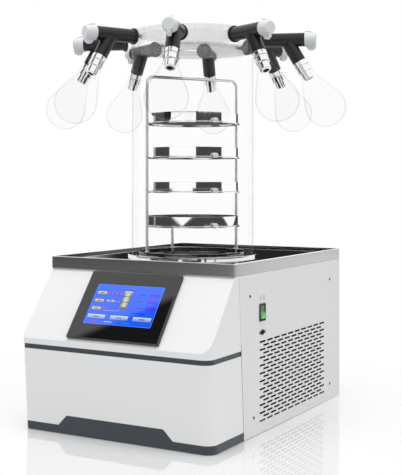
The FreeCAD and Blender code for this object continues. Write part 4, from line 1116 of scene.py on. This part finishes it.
@dataclass
class Port:
    """One port of the head, numbered from 1: its own axes, with x outward and z up."""

    number: int
    first_deg: float = 20.0
    drop: float = 22.5

    def basis(self) -> Points:
        """The port's own axes.

        Returns:
            Rows: outward, sideways and up.
        """
        turn = math.radians(self.first_deg + (self.number - 1) * 360.0 / PORTS)
        sine, cosine = math.sin(turn), math.cos(turn)
        return np.array([[sine, -cosine, 0.0], [cosine, sine, 0.0], UP])

    def origin(self) -> Points:
        """The point of the drum axis that the port's axis meets."""
        return drum_axis() + UP * (limits("manifold_head")[1][2] - self.drop)


ALL_PORTS = [Port(number) for number in range(1, PORTS + 1)]


@dataclass
class Head:
    """Clear head: rim, top disc, web disc, locating lip and stubs."""

    wall: float = 12.0
    top: float = 10.0
    web: float = 6.0
    bore: float = 30.0
    lip: float = 4.0
    lip_radius: float = 128.75
    lip_wall: float = 5.75
    stub_radius: float = 11.0

    def build(self) -> None:
        """Builds the head about its axis and a stub at each port."""
        low, high = limits("drum")
        foot, crown = high[2], limits("manifold_head")[1][2]
        radius = (high[0] - low[0]) / 2
        axis, inner = drum_axis(), radius - self.wall
        form = Form()
        form.ring((foot, crown), (inner, radius), axis)
        form.ring((crown - self.top, crown), (0, inner), axis, loop=False, mark=1)
        form.ring((foot, foot + self.web), (self.bore, inner), axis, mark=2)
        lip_radii = (self.lip_radius - self.lip_wall, self.lip_radius)
        form.ring((foot - self.lip, foot), lip_radii, axis, segments=96)
        for port in ALL_PORTS:
            form.ring((radius - self.wall / 2, STUB_END), (GAS_BORE, self.stub_radius),
                      port.origin(), port.basis()[0], 32)
        form.stand_for("manifold_head", [HEAD_CLEAR, DISC_CLEAR, WEB_CLEAR])


@dataclass
class Valve:
    """Rubber valve with its branch and turning knob, along one port."""

    start: float = 154.0
    collar: float = 6.0
    collar_radius: float = 18.0
    radius: float = 15.2
    end: float = 253.0
    stub_fit: float = 11.05
    stem_start: float = 204.0
    stem_fit: float = 9.05
    branch_at: float = 213.0
    branch_deg: float = 30.0
    branch: float = 57.0
    tail: float = 18.0
    tail_fit: float = 10.05
    knob: float = 25.0
    knob_radius: float = 16.5
    knob_end: float = 13.0
    knob_gap: float = 0.2
    stem: float = 9.0
    blade: float = 6.4
    blade_outline: tuple[Triple, ...] = (
        (9, 0, 0), (0.8, 14, 0), (0.8, 20.4, 3), (12, 18.4, 5), (24.8, 12.8, 1.5),
        (24.8, -19.5, 2.5), (17, -24.8, 3.5), (9, -23.5, 3), (0.8, -13, 1), (9, 0, 0))

    def down(self) -> Points:
        """Direction of the branch, slanting outward and down."""
        tilt = math.radians(self.branch_deg)
        return np.array([math.sin(tilt), 0.0, -math.cos(tilt)])

    def branch_end(self) -> Points:
        """Middle of the branch's open end."""
        return OUT * self.branch_at + self.down() * self.branch

    def body(self, port: Port) -> None:
        """Main tube and branch, each a closed profile turned about its axis.

        Args:
            port: the port that it sits on.
        """
        form = Form()
        seat, collar = self.start, self.start + self.collar
        main = eased([
            (STUB_END, self.stub_fit, 0), (seat, self.stub_fit, 0),
            (seat, self.collar_radius, 1.6), (collar, self.collar_radius, 1.6),
            (collar, self.radius, 0.8), (self.end, self.radius, 0.9),
            (self.end, self.stem_fit, 0), (self.stem_start, self.stem_fit, 0),
            (self.stem_start, GAS_BORE, 0), (STUB_END, GAS_BORE, 0),
            (STUB_END, self.stub_fit, 0)])
        form.lathe(main[:-1], np.zeros(3), OUT, 56, loop=True)
        tail = self.branch - self.tail
        side = eased([
            (6.0, 6.0, 0), (6.0, self.radius - 3, 0), (9.0, self.radius, 0),
            (self.branch, self.radius, 1.2), (self.branch, self.tail_fit, 0),
            (tail, self.tail_fit, 0), (tail, 6.0, 0), (6.0, 6.0, 0)])
        form.lathe(side[:-1], OUT * self.branch_at, self.down(), 56, loop=True)
        form.move(port.basis(), port.origin())
        form.stand_for(f"valve_body_{port.number}", [VALVE_RUBBER])

    def turning_knob(self, port: Port) -> None:
        """Stem, barrel head r = end + (radius - end)(1 - t^2.4), and pointer blade.

        The blade's outline is (along from the base, up, rounding).

        Args:
            port: the port that it serves.
        """
        form = Form()
        base, start = self.end + self.knob_gap, self.stem_start + 0.05
        tip = base + self.knob
        t = np.linspace(0.0, 1.0, 12)[1:]
        barrel = np.stack([base + t * (self.knob - 0.8),
                           self.knob_end + (self.knob_radius - self.knob_end) * (1 - t ** 2.4)], -1)
        stem = [[start, 0.0], [start, self.stem], [base, self.stem]]
        foot = [[base, self.knob_radius - 0.9], [base + 0.5, self.knob_radius - 0.2]]
        end = [[tip, self.knob_end - 0.8], [tip, 0.0]]
        form.lathe(np.concatenate([stem, foot, barrel, end]), np.zeros(3), OUT, 56)
        blade = eased([(base + along, up, ease) for along, up, ease in self.blade_outline])[:-1]
        flat = np.stack([blade[:, 0], np.full(len(blade), -self.blade / 2), blade[:, 1]], -1)
        form.prism(flat, np.array([0.0, self.blade, 0.0]))
        form.move(port.basis(), port.origin())
        form.stand_for(f"valve_knob_{port.number}", [KNOB_MOULDING],
                       body=f"knob_{port.number}", bevel=0.7)

    def build(self, port: Port) -> None:
        """Builds the valve and its knob at a port."""
        self.body(port)
        self.turning_knob(port)


@dataclass
class Adapters:
    """Turned chrome fittings from the branches into the flask necks."""

    bore: float = 6.5
    tail: float = 17.95
    tail_radius: float = 10.0
    head: float = 11.0
    radius: float = 15.3
    groove: float = 1.5
    groove_radius: float = 12.2
    seat: float = 13.5
    seat_radius: float = 14.5
    nose: float = 17.0
    nose_radius: float = 12.0
    waist: float = 11.4
    taper: Pair = (2.2, 2.6)

    def profile(self) -> Points:
        """Outline of one fitting, closed.

        Returns:
            Distance along the axis and radius, (n, 2).
        """
        one = self.head + self.groove
        two = one + self.seat
        three = two + self.groove
        end = three + self.nose
        tail, waist = -self.tail, self.waist
        return eased([
            (tail, self.bore, 0), (tail, self.tail_radius, 0), (0.0, self.tail_radius, 0),
            (0.0, self.radius, 0.8), (self.head, self.radius, 0.7),
            (self.head, self.groove_radius, 0), (one, self.groove_radius, 0),
            (one, self.seat_radius, 0.7), (two, self.seat_radius, 0.9), (two, waist, 0),
            (three, waist, 0), (three, self.nose_radius, 0.6),
            (end - self.taper[0], self.nose_radius, 1.6),
            (end, self.nose_radius - self.taper[1], 0.8),
            (end, self.bore, 0.3), (end - 1, self.bore, 0), (tail, self.bore, 0)])[:-1]

    def build(self, valve: Valve) -> None:
        """Turns one fitting at each port.

        Args:
            valve: gives the place and the slant of the branch.
        """
        form = Form()
        for port in ALL_PORTS:
            origin = valve.branch_end() @ port.basis() + port.origin()
            form.lathe(self.profile(), origin, valve.down() @ port.basis(), 48, loop=True)
        form.stand_for("flask_adapters", [CHROME])


@dataclass
class Flask:
    """Pear-shaped glass flask about the branch's axis."""

    mouth: float = 12.0
    neck: float = 17.0
    neck_end: float = 37.0
    lip: float = 2.0
    bulb: float = 45.0
    bulb_at: float = 116.0
    glass: float = 1.6
    flare: Pair = (3.0, 1.1)
    bead: tuple[Pair, ...] = ((0, 0.6), (1.5, 1.0), (3, 0.6), (4, 0.0))

    def outline(self, inset: float) -> Points:
        """Neck, tangent cone and bulb.

        The cone leaves the neck's end and touches the bulb at the turn where its line
        is square to the radius; the bulb runs on as a circle to the axis.

        Args:
            inset: what is taken off the radius of the neck and of the bulb.

        Returns:
            Distance along the axis and radius, (n, 2).
        """
        neck, bulb = self.neck - inset, self.bulb - inset
        back = self.bulb_at - self.neck_end
        reach = math.hypot(back, neck)
        swing = math.atan2(neck, -back) - math.acos(bulb / reach)
        turn = np.linspace(swing, 0.0, 28)
        round_part = np.stack([self.bulb_at + bulb * np.cos(turn), bulb * np.sin(turn)], -1)
        along, out = self.flare
        straight = [[self.mouth, neck], [self.neck_end - along, neck],
                    [self.neck_end + along, neck + out]]
        return np.concatenate([straight, round_part])

    def build(self, valve: Valve, port: Port) -> None:
        """Turns the glass as a closed shell: outside, then back up the inside.

        The mouth's bead is (along, share of the lip's height).

        Args:
            valve: gives the place and the slant of the branch.
            port: the port that it hangs at.
        """
        outer, inner = self.outline(0.0), self.outline(self.glass)
        rim = [[self.mouth + along, self.neck + self.lip * share] for along, share in self.bead]
        profile = np.concatenate([rim, outer[1:], inner[::-1]])
        form = Form()
        form.lathe(profile, valve.branch_end(), valve.down(), 64, loop=True)
        form.move(port.basis(), port.origin())
        form.stand_for(f"flask_{port.number}", [FLASK_CLEAR], sharp=60.0)


@dataclass
class TrayRack:
    """Bent rod hoop, shelves, studs, sleeves and the trays on them."""

    radius: float = 113.3
    turn_deg: float = 147.0
    rod: float = 3.3
    top: float = 400.0
    bend: float = 14.0
    rear_leg: float = 105.7
    sleeve: float = 4.8
    sleeve_height: float = 14.0
    shelf: float = 106.0
    shelf_bore: float = 92.0
    shelf_thick: float = 2.0
    ear: float = 8.0
    tab: float = 8.0
    stud_rise: float = 3.0
    stud_neck: float = 1.5
    stud: tuple[Triple, ...] = (
        (0, 2, 0), (0, 6, 0.8), (2.6, 6, 0.8), (2.9, 4.6, 0.2), (3.6, 4.6, 0.2),
        (3.9, 5.6, 0.6), (6, 4.8, 2.0), (6, 0, 0))
    pan: float = 102.5
    pan_height: float = 22.0
    sheet: float = 1.2

    def away(self, degrees: float, radius: float = 1.0) -> Points:
        """Level vector of this length at a turn from the front."""
        turn = math.radians(degrees)
        return radius * np.array([math.sin(turn), -math.cos(turn), 0.0])

    def hoop(self, form: Form, foot: float) -> None:
        """One rod up, over and down: straight runs joined by quarter circles.

        Args:
            form: the rack's form.
            foot: height of the rod's two ends.
        """
        turn = np.linspace(0, math.pi / 2, 9)
        high = foot + self.top - self.bend
        inner = self.radius - self.bend
        corner = np.stack([inner + self.bend * np.cos(turn), high + self.bend * np.sin(turn)], -1)
        rise = np.stack([np.full(12, self.radius), np.linspace(foot, high, 12)], -1)[:-1]
        half = np.concatenate([rise, corner])
        flat = np.concatenate([half, (half * [-1, 1])[::-1]])
        side = self.away(self.turn_deg)
        path = drum_axis() + flat[:, :1] * side + flat[:, 1:] * UP
        form.bent_rod(path, self.rod, np.cross(side, UP), 20)

    def plate(self, form: Form, out: Points, reach: Pair, width: float,
              foot: float, height: float, mark: int) -> None:
        """Adds an upright block from one reach to the next along a level direction.

        Args:
            form: the rack's form.
            out: that direction, of length 1.
            reach: where it starts and ends, from the drum's axis.
            width: its width, across the direction.
            foot: height of its underside.
            height: its own height.
            mark: the mark of its faces.
        """
        side = np.cross(UP, out) * width / 2
        start, end = (out * along for along in reach)
        outline = np.array([start - side, end - side, end + side, start + side])
        form.prism(outline + drum_axis() + UP * foot, UP * height, mark=mark)

    def shelf_ring(self, form: Form, top: float) -> None:
        """Flat ring, two ears to the uprights, and two turned studs on their tabs.

        Args:
            form: the rack's form.
            top: height of the ring's upper face.
        """
        foot = top - self.shelf_thick
        form.ring((foot, top), (self.shelf_bore, self.shelf), drum_axis(), segments=96, mark=1)
        for degrees in (self.turn_deg, self.turn_deg - 180):
            self.plate(form, self.away(degrees), (self.shelf - 2, self.radius), self.ear,
                       foot, self.shelf_thick, 1)
        start = self.shelf + self.stud_neck
        head = [(start + along, radius, ease) for along, radius, ease in self.stud]
        stud = eased([(self.shelf - 1, 0, 0), (self.shelf - 1, 2, 0), *head])
        for degrees in (self.turn_deg - 90, self.turn_deg + 90):
            out = self.away(degrees)
            form.lathe(stud, drum_axis() + UP * (top + self.stud_rise), out, 24, mark=2)
            self.plate(form, out, (self.shelf - 2, self.shelf), self.tab, foot,
                       self.shelf_thick + self.stud_rise + self.tab / 2, 2)

    def build(self) -> None:
        """Builds the rack and its trays from the heights of the CAD trays."""
        foot = limits("tray_rack")[0][2]
        levels = [limits(f"tray_{number}")[0][2] for number in range(1, 5)]
        form = Form()
        self.hoop(form, foot)
        rear = self.away(self.turn_deg + 90, self.rear_leg)
        form.ring((foot, levels[0] - 1), (0, self.rod), drum_axis() + rear, segments=20, loop=False)
        crown = foot + self.sleeve_height
        collar = eased([(foot, 0, 0), (foot, self.sleeve, 0.4), (crown, self.sleeve, 1.2),
                        (crown, 0, 0)])
        upright = self.away(self.turn_deg, self.radius)
        for place in (upright, -upright, rear):
            form.lathe(collar, drum_axis() + place, UP, 24)
        for top in levels:
            self.shelf_ring(form, top)
        form.stand_for("tray_rack", [ROD_STEEL, SHELF_STEEL, STUD_STEEL])
        for number, level in enumerate(levels, 1):
            self.tray(number, level)

    def tray(self, number: int, foot: float) -> None:
        """Pressed pan with a small foot radius and a plain rim.

        Args:
            number: the tray's number, from 1.
            foot: height of its underside.
        """
        inner, rim, floor = self.pan - self.sheet, foot + self.pan_height, foot + self.sheet
        outside = eased([(foot, 0, 0), (foot, self.pan, 1.8), (rim, self.pan, 0.3),
                         (rim, inner + 0.4, 0)])
        inside = eased([(rim, inner + 0.4, 0), (rim, inner, 0.3), (floor, inner, 1.2),
                        (floor, 0, 0)])
        form = Form()
        form.lathe(outside, drum_axis(), UP, 112)
        # The pan's inside gets painted shade: a darker steel than its outside.
        form.lathe(inside, drum_axis(), UP, 112, mark=1)
        form.stand_for(f"tray_{number}", [TRAY_STEEL, SHADED_TRAY_INSIDE])


@dataclass
class Studio:
    """Camera, lamps, floor and the room that metal and glass reflect."""

    azimuth: float = 29.605
    place: Triple = (1.1447, -1.99178, 0.5205)
    lens: float = 76.306
    shift: float = -0.1179
    floor_radius: float = 4.0
    fill: float = 0.66
    mirror: float = 1.1
    aim: Triple = (0.0, -0.05, 0.3)

    def camera(self) -> None:
        """A level camera, its view shifted down to the object."""
        data = bpy.data.cameras.new("camera")
        data.lens, data.sensor_width, data.shift_y = self.lens, 36.0, self.shift
        made = bpy.data.objects.new("camera", data)
        made.location = self.place
        made.rotation_euler = (math.radians(90), 0, math.radians(self.azimuth))
        bpy.context.scene.collection.objects.link(made)
        bpy.context.scene.camera = made

    def room(self) -> None:
        """White to the camera and through glass, softer where it lights the object."""
        world = bpy.data.worlds.new("studio")
        bpy.context.scene.world = world
        tree = Tree(world)
        ray = tree.add("LightPath")
        seen = (tree.output(ray, "Is Camera Ray") + tree.output(ray, "Is Transmission Ray")).clamp()
        rooms = (((0.98, 0.99, 1.0), self.fill), (self.gloss_room(tree), self.mirror), (WHITE, 1.0))
        lit, gloss, white = (
            tree.node("Background", "Background", {"Color": colour, "Strength": strength})
            for colour, strength in rooms)
        first = tree.blend(tree.output(ray, "Is Glossy Ray"), lit, gloss)
        tree.add("OutputWorld", {"Surface": tree.blend(seen, first, white)})

    def gloss_room(self, tree: Tree) -> Wire:
        """Room that polished surfaces mirror: white, with dark flags at eye level.

        The flags are bands of heading, in degrees, round the object. They differ in four
        belts of z, the rise of the ray: well over the horizon, at it, just under it and
        lower down. Higher up stands one dark flag, cut by the plane a x + b y + c z = 0.

        Args:
            tree: the world's node tree.

        Returns:
            The room's colour.
        """
        split = tree.add("SeparateXYZ", {"Vector": tree.node("TexCoord", "Generated")})
        x, y, z = (tree.output(split, name) for name in "XYZ")
        turn, drop = y.heading(x), z * -1.0
        low, horizon, split_z, high_z = -0.0135, 0.0135, 0.0703, 0.16
        upper = turn.hump((-179.0, -177.0), (-122.0, -119.0)) + turn.band(-52.0, 18.0, 0.7)
        high = (turn.hump((-143.0, -136.0), (-86.0, -84.0)) + turn.band(-78.5, -45.0, 0.7)
                + turn.band(-39.5, -36.0, 0.5) + turn.band(-21.5, -19.5, 0.4))
        back = turn.hump((84.0, 86.0), (124.2, 128.4)) * z.band(low, high_z, 0.002)
        taper = ((drop - 0.032) * 1150.0).clamp(0.0, 40.0)
        narrow, wide = turn - taper, turn + taper
        left = narrow.ramp(-121.0, -106.0) * (1.0 - wide.ramp(-62.0, -58.0))
        right = narrow.ramp(16.0, 24.0) * (1.0 - wide.ramp(78.0, 86.0))
        notch = 1.0 - turn.hump((52.5, 55.6), (60.5, 62.0))
        lower = 1.0 - (turn.hump((-122.0, -104.0), (-104.0, -100.0))
                       + turn.band(-31.0, 100.0, 3.0) * notch + turn.ramp(148.0, 152.0)
                       + (1.0 - turn.ramp(-146.0, -142.0))).clamp()
        lower = lower * (turn.ramp(-104.0, -102.0) * 0.13 + 0.87)
        flags = (upper * z.band(low, split_z, 0.0006) + high * z.band(split_z, high_z, 0.0006)
                 + (1.0 - left - right) * drop.band(horizon, 0.055, 0.002)
                 + lower * drop.band(0.055, 0.2, 0.003))
        patch = z.band(0.3, 0.85, 0.03) * turn.band(-165.0, -104.0, 4.0)
        plane = x * -0.375 + y * 0.917 + z * 0.137
        over = patch * (1.0 - plane.ramp(-0.004, 0.004))
        walls = tree.mix(drop.ramp(0.2, 0.3), WHITE, (0.80, 0.80, 0.80))
        room = tree.mix((flags + over).clamp(), walls, (0.05, 0.05, 0.052))
        return tree.mix(back, room, (0.018, 0.018, 0.019))

    def lamp(self, name: str, place: Triple, size: float, power: float) -> None:
        """A square soft lamp aimed at the middle of the object.

        Args:
            name: the lamp's name.
            place: where it hangs, in metres.
            size: length of each side, in metres.
            power: its power, in watts.
        """
        data = bpy.data.lights.new(name, "AREA")
        data.shape, data.size, data.energy = "SQUARE", size, power
        made = bpy.data.objects.new(name, data)
        made.location = place
        ahead = Vector(self.aim) - Vector(place)
        made.rotation_euler = ahead.to_track_quat("-Z", "Y").to_euler()
        made.visible_glossy = False
        bpy.context.scene.collection.objects.link(made)

    def floor(self) -> None:
        """A pale floor with a soft mirror, fading into the room at its rim.

        Its points are (r cos a, r sin a, 0) on rings of growing radius.
        """
        turn = full_turn(96)
        rings = np.geomspace(0.02, self.floor_radius, 14)[:, None, None] / MM
        flat = np.stack([np.cos(turn), np.sin(turn), np.zeros_like(turn)], -1)[None]
        form = Form()
        form.grid(rings * flat)
        form.polygon(rings[0] * flat[0])
        mesh = bpy.data.meshes.new("floor")
        points = np.concatenate(form.points) * MM
        mesh.from_pydata(points.tolist(), [], [face for face, _ in form.faces])
        made = bpy.data.objects.new("floor", mesh)
        bpy.context.scene.collection.objects.link(made)
        mesh.materials.append(FloorFinish("floor_white", (0.85, 0.85, 0.85)).material())
        made.visible_glossy = False

    def build(self) -> None:
        """Sets up the studio."""
        self.camera()
        self.room()
        self.floor()
        self.lamp("overhead", (0.1, -0.8, 3.1), 2.6, 58.0)
        self.lamp("right_fill", (3.2, 0.3, 1.4), 2.0, 10.0)
        bpy.context.scene.view_settings.view_transform = "Standard"


@dataclass(frozen=True)
class FloorFinish(Finish):
    """White floor: shadow and a faint mirror near the object, gone at the rim."""

    centre: Pair = (-0.05, -0.35)
    near: float = 0.25
    rim: float = 1.3
    lift: float = 0.09

    def lay(self, tree: Tree) -> Wire:
        """Mixes in a white glow, and fades with distance to the room.

        Args:
            tree: the material's node tree.

        Returns:
            The surface's shader.
        """
        x, y = tree.axis("X") - self.centre[0], tree.axis("Y") - self.centre[1]
        far = ((x * x + y * y) ** 0.5).ramp(self.near, self.rim)
        ground = tree.principled(Base_Color=self.colour, Roughness=0.03, Specular_IOR_Level=1.0)
        white = tree.node("Emission", "Emission", {"Color": WHITE, "Strength": 1.0})
        clear = tree.node("BsdfTransparent", "BSDF")
        return tree.blend(far, tree.blend(self.lift, ground, white), clear)


def record_size() -> None:
    """Brings the scene's view layer up to date."""
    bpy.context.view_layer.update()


def main() -> None:
    """Builds the sub-assemblies in order."""
    logging.basicConfig(level=logging.INFO, format="%(name)s: %(message)s")
    for assembly in (Studio(), Cabinet(), Deck(), Screen(), Drum(), Head(), TrayRack()):
        assembly.build()
        LOG.info("%s is ready", type(assembly).__name__)
    valve, flask = Valve(), Flask()
    for port in ALL_PORTS:
        valve.build(port)
        flask.build(valve, port)
        LOG.info("port %d is ready", port.number)
    Adapters().build(valve)
    record_size()


if __name__ == "__main__":
    main()
